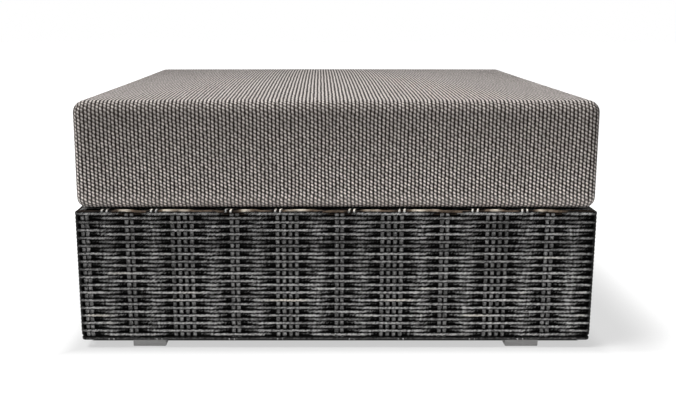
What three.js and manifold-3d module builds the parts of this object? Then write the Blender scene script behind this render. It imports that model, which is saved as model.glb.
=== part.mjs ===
import * as THREE from 'three';
import { mergeVertices } from 'three/addons/utils/BufferGeometryUtils.js';
import Module from 'manifold-3d';

// Outdoor ottoman footstool: a square box of woven resin strand on an aluminium tube frame,
// four low feet under its front and back rails, and a loose zipped cushion lying on the deck.
// Millimetres, +Z up. The origin is the centre of the footprint on the floor, and the front
// faces -Y.

const wasm = await Module();
wasm.setup();

// Fits
const fitGap = 0.3; // between pieces that touch
const runningGap = 0.4; // beside pieces that turn on each other
const cutOverrun = 2; // how far every cut runs past what it cuts

// Woven box
const boxWidth = 800;
const boxDepth = 800;
const boxHeight = 208; // without the feet
const weaveThickness = 10;
const hemThickness = 4; // the weave turned under the bottom rails
const strandPitch = 6.3; // from one row of strand to the next
const strandRelief = 1.8; // how deep the valley between two rows is
const stepsPerRow = 4;

// Frame of square tube
const tubeSize = 25;
const tubeWall = 1.5;
const tubeCornerRadius = 3;
const tubeCornerSteps = 2;
const crossbarCount = 3;

// Feet
const footHeight = 13; // from the floor to the woven box
const footWidth = 52;
const footDepth = 36;
const footCornerRadius = 4;
const footFromSide = 106; // from the box's side to the foot's centre
const padWidth = 40;
const padDepth = 24;
const padThickness = 3;
const padCornerRadius = 5;
const padDrop = 0.8; // how far the pad stands out of the foot
const cornerSteps = 3;

// Foot screws
const screwSpacing = 22;
const screwShankRadius = 2;
const screwHeadRadius = 3.8;
const screwHeadHeight = 2.4;
const screwHeadEdge = 1.2; // height of the head's straight rim under its dome
const screwReach = 4; // past the wall of the rail
const screwSides = 12;

// Cushion
const cushionWidth = 796;
const cushionDepth = 796;
const cushionHeight = 165; // at its edges
const cushionEdgeRadius = 20;
const cushionCrown = 4; // how much higher the middle of the top is
const cushionDrawIn = 2.5; // how far the front and the two sides pull in between the corners
const cushionEdgeLift = 3; // how far the underside rises towards its edges
const cushionEdgeSteps = 2; // in each half of a rounded edge
const cushionLineShares = [0.8, 0.4]; // of the half size: where the grid lines lie
const boxingLineShares = [0.4]; // the same, of the half height
const restingShare = 0.8; // the part of the underside that stays flat
const coverThickness = 1.5;
const waddingThickness = 24;

// Zip in the back of the cushion
const zipFromCorner = 58; // from the cushion's side to the end of the opening
const zipSlotHeight = 16;
const tapeThickness = 1;
const tapeWidth = 16;
const tapeTail = 10; // past each end of the opening
const tapeSplit = 0.8; // between the two tapes, under the coil
const coilWidth = 6;
const coilThickness = 2;
const coilCornerRadius = 0.9;
const stopLength = 5;
const stopHeight = 2.6;
const stopWidth = 7;
const sliderLength = 14;
const sliderPlate = 1.6;
const sliderFlange = 1.6;
const sliderCornerRadius = 0.9;
const bridgeWidth = 2.4;
const bridgeBar = 1.2;
const bridgeOpening = 4.4; // between the legs of the slider's bridge
const bridgeSeat = 0.5; // how deep the legs of the bridge run into the plate
const pullThickness = 1.2;
const pullEyeBar = 1.4; // the bar of the pull under the bridge
const pullSideBar = 1.6; // the bars beside the bridge
const pullLength = 24;
const pullTipRadius = 2.6;

// Heights of the stack, from the floor up
const boxBottom = footHeight;
const boxTop = boxBottom + boxHeight;
const deckBottom = boxTop - weaveThickness;
const bottomRailBase = boxBottom + hemThickness + fitGap;
const bottomRailZ = bottomRailBase + tubeSize / 2;
const topRailZ = deckBottom - fitGap - tubeSize / 2;
const postLength = topRailZ - bottomRailZ - tubeSize - 2 * fitGap;
const postZ = (bottomRailZ + topRailZ) / 2;
const cushionBottom = boxTop + fitGap;
const cushionTop = cushionBottom + cushionHeight;
const cushionZ = cushionBottom + cushionHeight / 2;

// Places in plan: each tube lies behind the weave, and each foot is centred under a rail
const weaveInner = weaveThickness + fitGap;
const frameX = boxWidth / 2 - weaveInner - tubeSize / 2;
const frameY = boxDepth / 2 - weaveInner - tubeSize / 2;
const footX = boxWidth / 2 - footFromSide;

// Finishes
const finish = (color, roughness, metalness) =>
  () => new THREE.MeshStandardMaterial({ color, roughness, metalness });
const charcoalStrand = finish(0x403f3d, 0.6, 0);
const darkTube = finish(0x2c2d2f, 0.55, 0.4);
const greyFoot = finish(0x8a8a87, 0.5, 0.1);
const softPad = finish(0x3a3a3a, 0.9, 0);
const steel = finish(0x9b9da0, 0.35, 1);
const tweedCloth = finish(0x7d7672, 0.95, 0);
const paleFoam = finish(0xe6dfc8, 0.95, 0);
const whiteWadding = finish(0xf1f0ec, 1, 0);
const zipCloth = finish(0x35322f, 0.9, 0);
const zipNylon = finish(0x2b2927, 0.5, 0);
const zipMetal = finish(0x6a6c6e, 0.4, 0.9);

const ottoman = new THREE.Group();

/** Adds one named piece to a group. */
const addPiece = (group, name, geometry, material) => {
  const mesh = new THREE.Mesh(geometry, material());
  mesh.name = name;
  group.add(mesh);
  return mesh;
};

/** A closed geometry as a solid that can be joined and cut. */
const toSolid = (geometry) => {
  const bare = geometry.clone();
  bare.deleteAttribute('normal');
  bare.deleteAttribute('uv');
  const merged = mergeVertices(bare);
  return new wasm.Manifold(new wasm.Mesh({
    numProp: 3,
    vertProperties: new Float32Array(merged.attributes.position.array),
    triVerts: new Uint32Array(merged.index.array),
  }));
};

/** A solid as a geometry again. */
const toGeometry = (solid) => {
  const { vertProperties, triVerts } = solid.getMesh();
  const geometry = new THREE.BufferGeometry();
  geometry.setAttribute('position', new THREE.BufferAttribute(new Float32Array(vertProperties), 3));
  geometry.setIndex(new THREE.BufferAttribute(new Uint32Array(triVerts), 1));
  geometry.computeVertexNormals();
  return geometry;
};

/** A block between two corners. */
const block = ([x0, y0, z0], [x1, y1, z1]) =>
  new THREE.BoxGeometry(x1 - x0, y1 - y0, z1 - z0)
    .translate((x0 + x1) / 2, (y0 + y1) / 2, (z0 + z1) / 2);

/** An upright round bar, used for drilling. */
const drill = (radius, x, y, z0, z1) =>
  new THREE.CylinderGeometry(radius, radius, z1 - z0, screwSides)
    .rotateX(Math.PI / 2)
    .translate(x, y, (z0 + z1) / 2);

/** The outline of a rectangle centred on zero, with one radius for each of its four corners. */
const roundedOutline = (Outline, width, height, [lowLeft, lowRight, highRight, highLeft]) => {
  const outline = new Outline();
  const x = width / 2;
  const y = height / 2;
  outline.moveTo(-x + lowLeft, -y);
  outline.lineTo(x - lowRight, -y);
  outline.absarc(x - lowRight, -y + lowRight, lowRight, -Math.PI / 2, 0);
  outline.lineTo(x, y - highRight);
  outline.absarc(x - highRight, y - highRight, highRight, 0, Math.PI / 2);
  outline.lineTo(-x + highLeft, y);
  outline.absarc(-x + highLeft, y - highLeft, highLeft, Math.PI / 2, Math.PI);
  outline.lineTo(-x, -y + lowLeft);
  outline.absarc(-x + lowLeft, -y + lowLeft, lowLeft, Math.PI, Math.PI * 1.5);
  return outline;
};

/** An outline extruded upwards, centred on zero. */
const extruded = (outline, length, steps) =>
  new THREE.ExtrudeGeometry(outline, { depth: length, bevelEnabled: false, curveSegments: steps })
    .translate(0, 0, -length / 2);

/** A length of square tube standing upright, centred on zero. */
const tube = (length) => {
  const inner = tubeSize - 2 * tubeWall;
  const innerRadius = Math.max(tubeCornerRadius - tubeWall, tubeWall / 2);
  const outline = roundedOutline(THREE.Shape, tubeSize, tubeSize, Array(4).fill(tubeCornerRadius));
  outline.holes.push(roundedOutline(THREE.Path, inner, inner, Array(4).fill(innerRadius)));
  return extruded(outline, length, tubeCornerSteps);
};

const tubeAlongX = (length) => tube(length).rotateY(Math.PI / 2);
const tubeAlongY = (length) => tube(length).rotateX(Math.PI / 2);

/** The two screw places of both feet on one rail, as x values. */
const screwXs = [-footX, footX].flatMap((x) => [x - screwSpacing / 2, x + screwSpacing / 2]);

/** A tube or panel with the holes for the foot screws drilled through its bottom. */
const drilledForFeet = (geometry, y, z0, z1) => {
  let solid = toSolid(geometry);
  for (const x of screwXs) {
    solid = solid.subtract(toSolid(drill(screwShankRadius + fitGap, x, y, z0, z1)));
  }
  return toGeometry(solid);
};

// Frame: bottom and top rails, corner posts, an upright in the middle of each side, crossbars
const frame = new THREE.Group();
const railLengthX = 2 * frameX + tubeSize;
const railLengthY = 2 * frameY - tubeSize - 2 * fitGap;
for (const [level, z] of [['bottom', bottomRailZ], ['top', topRailZ]]) {
  for (const [side, direction] of [['front', -1], ['back', 1]]) {
    const rail = level === 'bottom'
      ? drilledForFeet(tubeAlongX(railLengthX), 0, -tubeSize / 2 - cutOverrun, 0)
      : tubeAlongX(railLengthX);
    addPiece(frame, `rail_${level}_${side}`, rail, darkTube).position.set(0, direction * frameY, z);
  }
  for (const [side, direction] of [['left', -1], ['right', 1]]) {
    addPiece(frame, `rail_${level}_${side}`, tubeAlongY(railLengthY), darkTube)
      .position.set(direction * frameX, 0, z);
  }
}
for (const [side, y] of [['front', -frameY], ['back', frameY]]) {
  addPiece(frame, `post_${side}_left`, tube(postLength), darkTube).position.set(-frameX, y, postZ);
  addPiece(frame, `post_${side}_right`, tube(postLength), darkTube).position.set(frameX, y, postZ);
  addPiece(frame, `upright_${side}`, tube(postLength), darkTube).position.set(0, y, postZ);
}
for (const [side, x] of [['left', -frameX], ['right', frameX]]) {
  addPiece(frame, `upright_${side}`, tube(postLength), darkTube).position.set(x, 0, postZ);
}
for (let i = 1; i <= crossbarCount; i += 1) {
  const x = -frameX + (2 * frameX * i) / (crossbarCount + 1);
  addPiece(frame, `crossbar_${i}`, tubeAlongY(railLengthY), darkTube).position.set(x, 0, topRailZ);
}
ottoman.add(frame);

/** The section of a woven side: rows of strand outside, flat inside, and a hem turned under. */
const wovenSection = () => {
  const hemReach = weaveInner + tubeSize;
  const rows = Math.max(1, Math.round(boxHeight / strandPitch));
  const section = new THREE.Shape();
  section.moveTo(strandRelief, boxBottom);
  for (let i = 1; i <= rows * stepsPerRow; i += 1) {
    const valley = 1 - Math.abs(Math.sin((Math.PI * i) / stepsPerRow));
    section.lineTo(strandRelief * valley, boxBottom + (boxHeight * i) / (rows * stepsPerRow));
  }
  section.lineTo(weaveThickness, boxTop);
  section.lineTo(weaveThickness, boxBottom + hemThickness);
  section.lineTo(hemReach, boxBottom + hemThickness);
  section.lineTo(hemReach, boxBottom);
  return section;
};

/** A woven side along X whose outer face lies on y = 0, mitred at both ends. */
const wovenSide = (length) => {
  const mitreBack = fitGap / Math.SQRT2;
  const geometry = extruded(wovenSection(), length, 1);
  geometry.applyMatrix4(new THREE.Matrix4().makeBasis(
    new THREE.Vector3(0, 1, 0),
    new THREE.Vector3(0, 0, 1),
    new THREE.Vector3(1, 0, 0),
  ));
  const { position } = geometry.attributes;
  for (let i = 0; i < position.count; i += 1) {
    const end = length / 2 - position.getY(i) - mitreBack;
    position.setX(i, Math.sign(position.getX(i)) * end);
  }
  return geometry;
};

// Woven box: four sides round the frame, and the deck between them on the top rails
const wovenBox = new THREE.Group();
const drilledSide = () =>
  drilledForFeet(wovenSide(boxWidth), weaveInner + tubeSize / 2, boxBottom - cutOverrun, bottomRailBase);
const sides = [
  ['woven_front', drilledSide(), 0, 0, -boxDepth / 2],
  ['woven_right', wovenSide(boxDepth), 1, boxWidth / 2, 0],
  ['woven_back', drilledSide(), 2, 0, boxDepth / 2],
  ['woven_left', wovenSide(boxDepth), 3, -boxWidth / 2, 0],
];
for (const [name, geometry, quarterTurns, x, y] of sides) {
  const side = addPiece(wovenBox, name, geometry, charcoalStrand);
  side.rotation.z = (quarterTurns * Math.PI) / 2;
  side.position.set(x, y, 0);
}
const deckX = boxWidth / 2 - weaveInner;
const deckY = boxDepth / 2 - weaveInner;
addPiece(wovenBox, 'woven_deck', block([-deckX, -deckY, deckBottom], [deckX, deckY, boxTop]), charcoalStrand);
ottoman.add(wovenBox);

// Heights in a foot: the pad lies in a recess, with the screw heads in counterbores above it
const headBase = padThickness + fitGap;
const headTop = headBase + screwHeadHeight;
const footTop = footHeight - fitGap;
const screwTip = bottomRailBase + tubeWall + screwReach;

/** A round-cornered plate as thick as the pad, centred on zero. */
const padPlate = (width, depth, radius) =>
  extruded(roundedOutline(THREE.Shape, width, depth, Array(4).fill(radius)), padThickness, cornerSteps);

/** A foot block with its pad recess, counterbores and screw holes, centred in plan. */
const footBlock = () => {
  const blockHeight = footTop - padDrop;
  const lowRadii = [footCornerRadius, footCornerRadius, 0, 0];
  const outline = roundedOutline(THREE.Shape, footWidth, blockHeight, lowRadii);
  const body = extruded(outline, footDepth, cornerSteps)
    .rotateX(Math.PI / 2)
    .translate(0, 0, padDrop + blockHeight / 2);
  const recess = padPlate(padWidth + 2 * fitGap, padDepth + 2 * fitGap, padCornerRadius + fitGap)
    .translate(0, 0, headBase - padThickness / 2);
  let solid = toSolid(body).subtract(toSolid(recess));
  for (const x of [-screwSpacing / 2, screwSpacing / 2]) {
    const bore = drill(screwHeadRadius + fitGap, x, 0, padDrop, headTop + fitGap);
    const hole = drill(screwShankRadius + fitGap, x, 0, padDrop, footTop + cutOverrun);
    solid = solid.subtract(toSolid(bore)).subtract(toSolid(hole));
  }
  return toGeometry(solid);
};

/** A pan-head screw standing on its head, turned about its own axis. */
const footScrew = () => {
  const profile = [
    [0, headBase],
    [screwHeadRadius - (screwHeadHeight - screwHeadEdge), headBase],
    [screwHeadRadius, headTop - screwHeadEdge],
    [screwHeadRadius, headTop],
    [screwShankRadius, headTop],
    [screwShankRadius, screwTip - screwShankRadius],
    [0, screwTip],
  ];
  const points = profile.map(([radius, z]) => new THREE.Vector2(radius, z));
  return new THREE.LatheGeometry(points, screwSides).rotateX(Math.PI / 2);
};

// Feet under the front and back rails
for (const [side, y] of [['front', -frameY], ['back', frameY]]) {
  for (const [hand, x] of [['left', -footX], ['right', footX]]) {
    const foot = new THREE.Group();
    foot.position.set(x, y, 0);
    addPiece(foot, `foot_${side}_${hand}`, footBlock(), greyFoot);
    addPiece(foot, `foot_pad_${side}_${hand}`, padPlate(padWidth, padDepth, padCornerRadius), softPad)
      .position.z = padThickness / 2;
    for (const [end, direction] of [['a', -1], ['b', 1]]) {
      addPiece(foot, `foot_screw_${side}_${hand}_${end}`, footScrew(), steel)
        .position.x = (direction * screwSpacing) / 2;
    }
    ottoman.add(foot);
  }
}

/** Grid lines from edge to edge: the shares inside, then the steps of the rounded edge. */
const gridLines = (half, radius, shares, outerHalf) => {
  const edge = Array.from({ length: cushionEdgeSteps + 1 }, (_, i) =>
    half - radius + radius * Math.tan((Math.PI / 4) * (1 - i / cushionEdgeSteps)));
  const inside = shares.map((share) => share * outerHalf);
  const positive = [...edge, ...inside];
  return [...positive.map((value) => -value), 0, ...positive.reverse()];
};

/** Crowns the top, lifts the underside's edges, and draws in the front and the two sides. */
const shapeCushion = (point) => {
  const across = (2 * point.x) / cushionWidth;
  const along = (2 * point.y) / cushionDepth;
  const up = 0.5 + point.z / cushionHeight;
  const outside = Math.max(Math.abs(across), Math.abs(along)) - restingShare;
  const rim = Math.max(0, outside / (1 - restingShare)) ** 2;
  const fullness = (1 - across ** 2) * (1 - along ** 2);
  point.z += cushionCrown * fullness * up + cushionEdgeLift * rim * (1 - up);
  point.x -= cushionDrawIn * across * (1 - along ** 2);
  point.y -= cushionDrawIn * Math.min(along, 0) * (1 - across ** 2);
  return point;
};

/** The cushion's form, or the same form a little inside it: a grid block rounded and shaped. */
const cushionForm = (inset) => {
  const radius = cushionEdgeRadius - inset;
  const outerHalves = [cushionWidth / 2, cushionDepth / 2, cushionHeight / 2];
  const halves = outerHalves.map((half) => half - inset);
  const lines = halves.map((half, axis) =>
    gridLines(half, radius, axis === 2 ? boxingLineShares : cushionLineShares, outerHalves[axis]));
  const cells = lines.map((list) => list.length - 1);
  const geometry = new THREE.BoxGeometry(...cells, ...cells);
  const { position } = geometry.attributes;
  const point = new THREE.Vector3();
  const core = new THREE.Vector3(...halves.map((half) => half - radius));
  for (let i = 0; i < position.count; i += 1) {
    point.fromBufferAttribute(position, i);
    const steps = point.toArray().map((value, axis) => Math.round(value + cells[axis] / 2));
    point.set(...steps.map((step, axis) => lines[axis][step]));
    const nearest = point.clone().clamp(core.clone().negate(), core);
    point.sub(nearest).setLength(radius).add(nearest);
    position.setXYZ(i, ...shapeCushion(point).toArray());
  }
  return geometry.translate(0, 0, cushionZ);
};

/** A block round everything between two heights, used to part the fill into its layers. */
const layer = (z0, z1) => toSolid(block(
  [-cushionWidth, -cushionDepth, z0],
  [cushionWidth, cushionDepth, z1],
));

// Places in the zip, from the cushion's back face inwards and outwards
const zipOpening = cushionWidth - 2 * zipFromCorner;
const backY = cushionDepth / 2;
const tapeOuterY = backY - coverThickness - fitGap;
const tapeInnerY = tapeOuterY - tapeThickness;
const coilBaseY = tapeOuterY + fitGap;
const coilTopY = coilBaseY + coilThickness;
const tapeReach = tapeSplit / 2 + tapeWidth;
const tapeHalf = zipOpening / 2 + tapeTail;
const coilHalf = zipOpening / 2 - stopLength - 2 * fitGap;
const sliderX = coilHalf - fitGap - sliderLength / 2;
const plateBaseY = coilTopY + fitGap;
const plateTopY = plateBaseY + sliderPlate;
const eyeTurnRadius = Math.hypot(pullThickness, pullEyeBar) / 2;
const eyeY = plateTopY + fitGap + eyeTurnRadius;

// Cushion: the cover with its slot for the zip, and the fill inside it in three layers
const cushion = new THREE.Group();
const slot = block(
  [-zipOpening / 2, tapeInnerY, cushionZ - zipSlotHeight / 2],
  [zipOpening / 2, backY + cutOverrun, cushionZ + zipSlotHeight / 2],
);
const cover = toSolid(cushionForm(0))
  .subtract(toSolid(cushionForm(coverThickness)))
  .subtract(toSolid(slot));
addPiece(cushion, 'cushion_cover', toGeometry(cover), tweedCloth);

const fill = toSolid(cushionForm(coverThickness + fitGap));
const lowerSeam = cushionBottom + waddingThickness;
const upperSeam = cushionTop - waddingThickness;
const tapeSpace = block(
  [-tapeHalf - fitGap, tapeInnerY - fitGap, cushionZ - tapeReach - fitGap],
  [tapeHalf + fitGap, backY + cutOverrun, cushionZ + tapeReach + fitGap],
);
const foam = fill.intersect(layer(lowerSeam + fitGap, upperSeam - fitGap)).subtract(toSolid(tapeSpace));
const lowerWadding = fill.intersect(layer(cushionBottom - cutOverrun, lowerSeam));
const upperWadding = fill.intersect(layer(upperSeam, cushionTop + cushionCrown + cutOverrun));
addPiece(cushion, 'wadding_bottom', toGeometry(lowerWadding), whiteWadding);
addPiece(cushion, 'foam_core', toGeometry(foam), paleFoam);
addPiece(cushion, 'wadding_top', toGeometry(upperWadding), whiteWadding);
ottoman.add(cushion);

// Zip: two tapes behind the slot, the coil over their edges with a stop at each end
const zip = new THREE.Group();
zip.position.z = cushionZ;
const tapeLow = tapeSplit / 2;
addPiece(zip, 'zip_tape_upper', block(
  [-tapeHalf, tapeInnerY, tapeLow],
  [tapeHalf, tapeOuterY, tapeReach],
), zipCloth);
addPiece(zip, 'zip_tape_lower', block(
  [-tapeHalf, tapeInnerY, -tapeReach],
  [tapeHalf, tapeOuterY, -tapeLow],
), zipCloth);
const coilRadii = [0, 0, coilCornerRadius, coilCornerRadius];
const coilSection = roundedOutline(THREE.Shape, coilWidth, coilThickness, coilRadii);
const acrossZip = new THREE.Matrix4().makeBasis(
  new THREE.Vector3(0, 0, 1),
  new THREE.Vector3(0, 1, 0),
  new THREE.Vector3(-1, 0, 0),
);
addPiece(zip, 'zip_coil', extruded(coilSection, 2 * coilHalf, cornerSteps)
  .applyMatrix4(acrossZip)
  .translate(0, coilBaseY + coilThickness / 2, 0), zipNylon);
const stopX = zipOpening / 2 - fitGap - stopLength / 2;
for (const [hand, x] of [['left', -stopX], ['right', stopX]]) {
  const radii = [0, 0, coilCornerRadius, coilCornerRadius];
  const section = roundedOutline(THREE.Shape, stopWidth, stopHeight, radii);
  addPiece(zip, `zip_stop_${hand}`, extruded(section, stopLength, cornerSteps)
    .applyMatrix4(acrossZip)
    .translate(x, coilBaseY + stopHeight / 2, 0), zipMetal);
}

/** The slider: a channel over the coil, with a bridge on its plate that holds the pull. */
const sliderBody = () => {
  const innerHalf = coilWidth / 2 + fitGap;
  const outerWidth = 2 * (innerHalf + sliderFlange);
  const height = plateTopY - coilBaseY;
  const radii = [0, 0, sliderCornerRadius, sliderCornerRadius];
  const shell = extruded(roundedOutline(THREE.Shape, outerWidth, height, radii), sliderLength, cornerSteps)
    .applyMatrix4(acrossZip)
    .translate(0, coilBaseY + height / 2, 0);
  const channel = block(
    [-sliderLength, coilBaseY - cutOverrun, -innerHalf],
    [sliderLength, plateBaseY, innerHalf],
  );
  const openingTop = eyeY + eyeTurnRadius + fitGap;
  const legOuter = bridgeOpening / 2 + bridgeBar;
  const arch = block(
    [-legOuter, plateTopY - bridgeSeat, -bridgeWidth / 2],
    [legOuter, openingTop + bridgeBar, bridgeWidth / 2],
  );
  const archOpening = block(
    [-bridgeOpening / 2, plateTopY, -bridgeWidth],
    [bridgeOpening / 2, openingTop, bridgeWidth],
  );
  return toGeometry(toSolid(shell)
    .subtract(toSolid(channel))
    .add(toSolid(arch).subtract(toSolid(archOpening))));
};
addPiece(zip, 'zip_slider', sliderBody(), zipMetal).position.x = sliderX;

/** The pull, lying flat towards -X, with its eye bar on the origin. */
const pullTab = () => {
  const eyeHalf = bridgeWidth / 2 + runningGap;
  const width = 2 * (eyeHalf + pullSideBar);
  const bridgeHeight = fitGap + eyeTurnRadius + bridgeBar;
  const eyeEnd = Math.hypot(bridgeOpening / 2 + bridgeBar, bridgeHeight) + runningGap;
  const outline = roundedOutline(THREE.Shape, pullLength, width, Array(4).fill(pullTipRadius))
    .getPoints(cornerSteps);
  const plate = extruded(new THREE.Shape(outline), pullThickness, 1)
    .translate(pullEyeBar / 2 - pullLength / 2, 0, 0);
  const eye = block(
    [-eyeEnd, -eyeHalf, -pullThickness],
    [-pullEyeBar / 2, eyeHalf, pullThickness],
  );
  return toGeometry(toSolid(plate).subtract(toSolid(eye))).rotateX(Math.PI / 2);
};
addPiece(zip, 'zip_pull', pullTab(), zipMetal).position.set(sliderX, eyeY, 0);
ottoman.add(zip);

export default ottoman;
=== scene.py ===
import logging
import math
from dataclasses import dataclass, field
from enum import Enum
from typing import Any, Callable, Iterable, Sequence

import bpy
import numpy as np
from bpy.types import Material, Mesh, Object
from mathutils import Matrix, Vector


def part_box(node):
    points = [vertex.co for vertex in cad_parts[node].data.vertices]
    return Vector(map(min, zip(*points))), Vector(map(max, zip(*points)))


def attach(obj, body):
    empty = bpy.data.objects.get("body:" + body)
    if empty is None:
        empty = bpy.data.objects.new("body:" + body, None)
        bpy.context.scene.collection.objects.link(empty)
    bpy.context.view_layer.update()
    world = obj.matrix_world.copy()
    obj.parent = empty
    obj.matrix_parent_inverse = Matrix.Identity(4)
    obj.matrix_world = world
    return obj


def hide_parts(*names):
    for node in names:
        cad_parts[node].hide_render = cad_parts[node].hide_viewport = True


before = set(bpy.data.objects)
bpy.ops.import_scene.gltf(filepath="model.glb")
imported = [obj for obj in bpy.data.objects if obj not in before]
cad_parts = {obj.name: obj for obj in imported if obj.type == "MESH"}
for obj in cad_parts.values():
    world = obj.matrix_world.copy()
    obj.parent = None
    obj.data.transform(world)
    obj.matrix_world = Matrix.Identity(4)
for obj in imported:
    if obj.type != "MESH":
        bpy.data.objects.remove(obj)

# Outdoor ottoman footstool: the woven box, its frame and feet, and the zipped tweed cushion.
# Sizes are in metres, in the frame's own axes: +Z up, the front faces -Y, the floor is z = 0.

log = logging.getLogger("ottoman")

Colour = tuple[float, float, float, float]
Span = tuple[float, float]
Pair = tuple[float, float]
Look = tuple[float, float, float]
Grain = tuple[float, float, float]
Outline = tuple[tuple[float, float], ...]
Waves = tuple[tuple[int, float], ...]

# A span runs from its first value to its second. A look is a strand's width, thickness and tone.
# A grain is a noise's features a metre, detail and roughness. Waves are counts and heights.

MM = 0.001
SAME = 1e-6  # places this close are one place
DIGITS = 7  # lengths that agree to so many digits are one length
FACING = 0.99  # the least part along an axis of the normal of a face that looks that way
MIDDLE: Span = (0.3, 0.7)  # where most values of a noise lie
SEED = 20
WOVEN_SIDES = ("woven_front", "woven_right", "woven_back", "woven_left")
UPWARDS = np.array([0.0, 0.0, 1.0])


class Part(Enum):
    """What a step in edit mode works on."""

    FACES = "FACE"
    EDGES = "EDGE"


def grey(level: float, warmth: float = 0.0) -> Colour:
    """A linear grey, a little redder and less blue where warmth is above zero."""
    return (level * (1 + warmth), level, level * (1 - warmth), 1.0)


# Helpers for meshes


def deselect() -> None:
    """Leaves edit mode and deselects every object."""
    if bpy.context.object and bpy.context.object.mode != "OBJECT":
        bpy.ops.object.mode_set(mode="OBJECT")
    for obj in bpy.context.selected_objects:
        obj.select_set(False)


def take(obj: Object) -> Object:
    """Makes one object the only selected one, and the active one.

    Args:
        obj: the object.

    Returns:
        The same object.
    """
    deselect()
    obj.select_set(True)
    bpy.context.view_layer.objects.active = obj
    return obj


def settle(obj: Object) -> Object:
    """Puts an object's place, turn and scale into its mesh.

    Args:
        obj: the object.

    Returns:
        The same object.
    """
    take(obj)
    bpy.ops.object.transform_apply(location=True, rotation=True, scale=True)
    return obj


def add_modifier(obj: Object, kind: str, **settings: Any) -> Object:
    """Adds a modifier with its settings and applies it.

    Args:
        obj: the object that gets the modifier.
        kind: the modifier's type, such as BEVEL.
        settings: its properties and their values.

    Returns:
        The same object.
    """
    take(obj)
    modifier = obj.modifiers.new(kind.title(), kind)
    for name, value in settings.items():
        setattr(modifier, name, value)
    bpy.ops.object.modifier_apply(modifier=modifier.name)
    return obj


def round_edges(obj: Object, width: float, segments: int = 3, degrees: float = 50.0) -> Object:
    """Rounds every edge that is sharper than an angle."""
    return add_modifier(obj, "BEVEL", width=width, segments=segments, limit_method="ANGLE",
                        angle_limit=math.radians(degrees))


def soften(obj: Object, degrees: float = 40.0) -> Object:
    """Shades an object smooth, apart from edges sharper than an angle.

    Args:
        obj: the object.
        degrees: the angle.

    Returns:
        The same object.
    """
    take(obj)
    bpy.ops.object.shade_smooth_by_angle(angle=math.radians(degrees))
    return obj


def start_box(name: str, low: Sequence[float], high: Sequence[float]) -> Object:
    """Adds a cube primitive between two corners, as the start of a piece.

    Args:
        name: the piece's name.
        low: the lowest corner.
        high: the highest corner.

    Returns:
        The new object, with its place in its mesh.
    """
    deselect()
    bpy.ops.mesh.primitive_cube_add(size=1)
    obj = bpy.context.object
    obj.name = obj.data.name = name
    obj.scale = [b - a for a, b in zip(low, high)]
    obj.location = [(a + b) / 2 for a, b in zip(low, high)]
    return settle(obj)


def start_rod(name: str, base: Vector, along: Vector, radius: float, length: float, sides: int) -> Object:
    """Adds a cylinder primitive from a base point along a direction, as the start of a piece.

    Args:
        name: the piece's name.
        base: the centre of its first end.
        along: the direction to its other end.
        radius: its radius.
        length: its length.
        sides: how many sides it has.

    Returns:
        The new object, with its place in its mesh.
    """
    deselect()
    bpy.ops.mesh.primitive_cylinder_add(vertices=sides, radius=radius, depth=length)
    obj = bpy.context.object
    obj.name = obj.data.name = name
    obj.rotation_euler = along.to_track_quat("Z", "Y").to_euler()
    obj.location = base + along.normalized() * (length / 2)
    return settle(obj)


def edit(
    obj: Object, part: Part, chosen: Callable[[Vector, Vector], bool], shape: Callable[[], Any]
) -> None:
    """Selects some faces or edges of an object, and shapes them in edit mode.

    Args:
        obj: the object to edit.
        part: whether its faces or its edges are worked on.
        chosen: says from a face's centre and normal, or an edge's two ends, whether it is selected.
        shape: calls the edit-mode operators.
    """
    take(obj)
    mesh = obj.data
    for collection in (mesh.vertices, mesh.edges, mesh.polygons):
        collection.foreach_set("select", [False] * len(collection))
    if part is Part.FACES:
        for face in mesh.polygons:
            face.select = chosen(face.center, face.normal)
    else:
        for edge in mesh.edges:
            edge.select = chosen(*(mesh.vertices[i].co for i in edge.vertices))
    bpy.ops.object.mode_set(mode="EDIT")
    bpy.ops.mesh.select_mode(type=part.value)
    shape()
    bpy.ops.object.mode_set(mode="OBJECT")


def edges_along(axis: int) -> Callable[[Vector, Vector], bool]:
    """A test for the edges that run along an axis."""
    return lambda a, b: all(abs(a[i] - b[i]) < SAME for i in range(3) if i != axis)


def faces_along(axis: int, sign: int) -> Callable[[Vector, Vector], bool]:
    """A test for the faces that look up or down an axis."""
    return lambda centre, normal: normal[axis] * sign > FACING


def bevel(radius: float, segments: int) -> None:
    """Rounds the selected edges."""
    bpy.ops.mesh.bevel(offset=radius, segments=segments, affect="EDGES")


def inset_steps(*steps: Pair) -> None:
    """Insets the selected faces step by step, each by a width and a depth."""
    for width, depth in steps:
        bpy.ops.mesh.inset(thickness=width, depth=depth)


def corners_of(mesh: Mesh) -> np.ndarray:
    """Where a mesh's vertices lie, as an (n, 3) array."""
    return np.array([v.co for v in mesh.vertices])


def place_corners(mesh: Mesh, places: np.ndarray) -> None:
    """Moves a mesh's vertices to new places."""
    mesh.vertices.foreach_set("co", places.astype(np.float32).ravel())
    mesh.update()


def add_object(name: str, data: bpy.types.ID) -> Object:
    """Adds an object with a mesh, a lamp or a camera to the scene.

    Args:
        name: its name.
        data: the mesh, lamp or camera.

    Returns:
        The new object.
    """
    obj = bpy.data.objects.new(name, data)
    bpy.context.scene.collection.objects.link(obj)
    return obj


def copy_piece(obj: Object, name: str, matrix: Matrix) -> Object:
    """Copies a piece with a mesh of its own, moved by a matrix.

    Args:
        obj: the piece to copy.
        name: the copy's name.
        matrix: the move from the piece's place to the copy's.

    Returns:
        The copy, at the origin, with its place in its mesh.
    """
    copy = obj.copy()
    copy.data = obj.data.copy()
    copy.name = copy.data.name = name
    bpy.context.scene.collection.objects.link(copy)
    copy.data.transform(matrix)
    return copy


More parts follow.
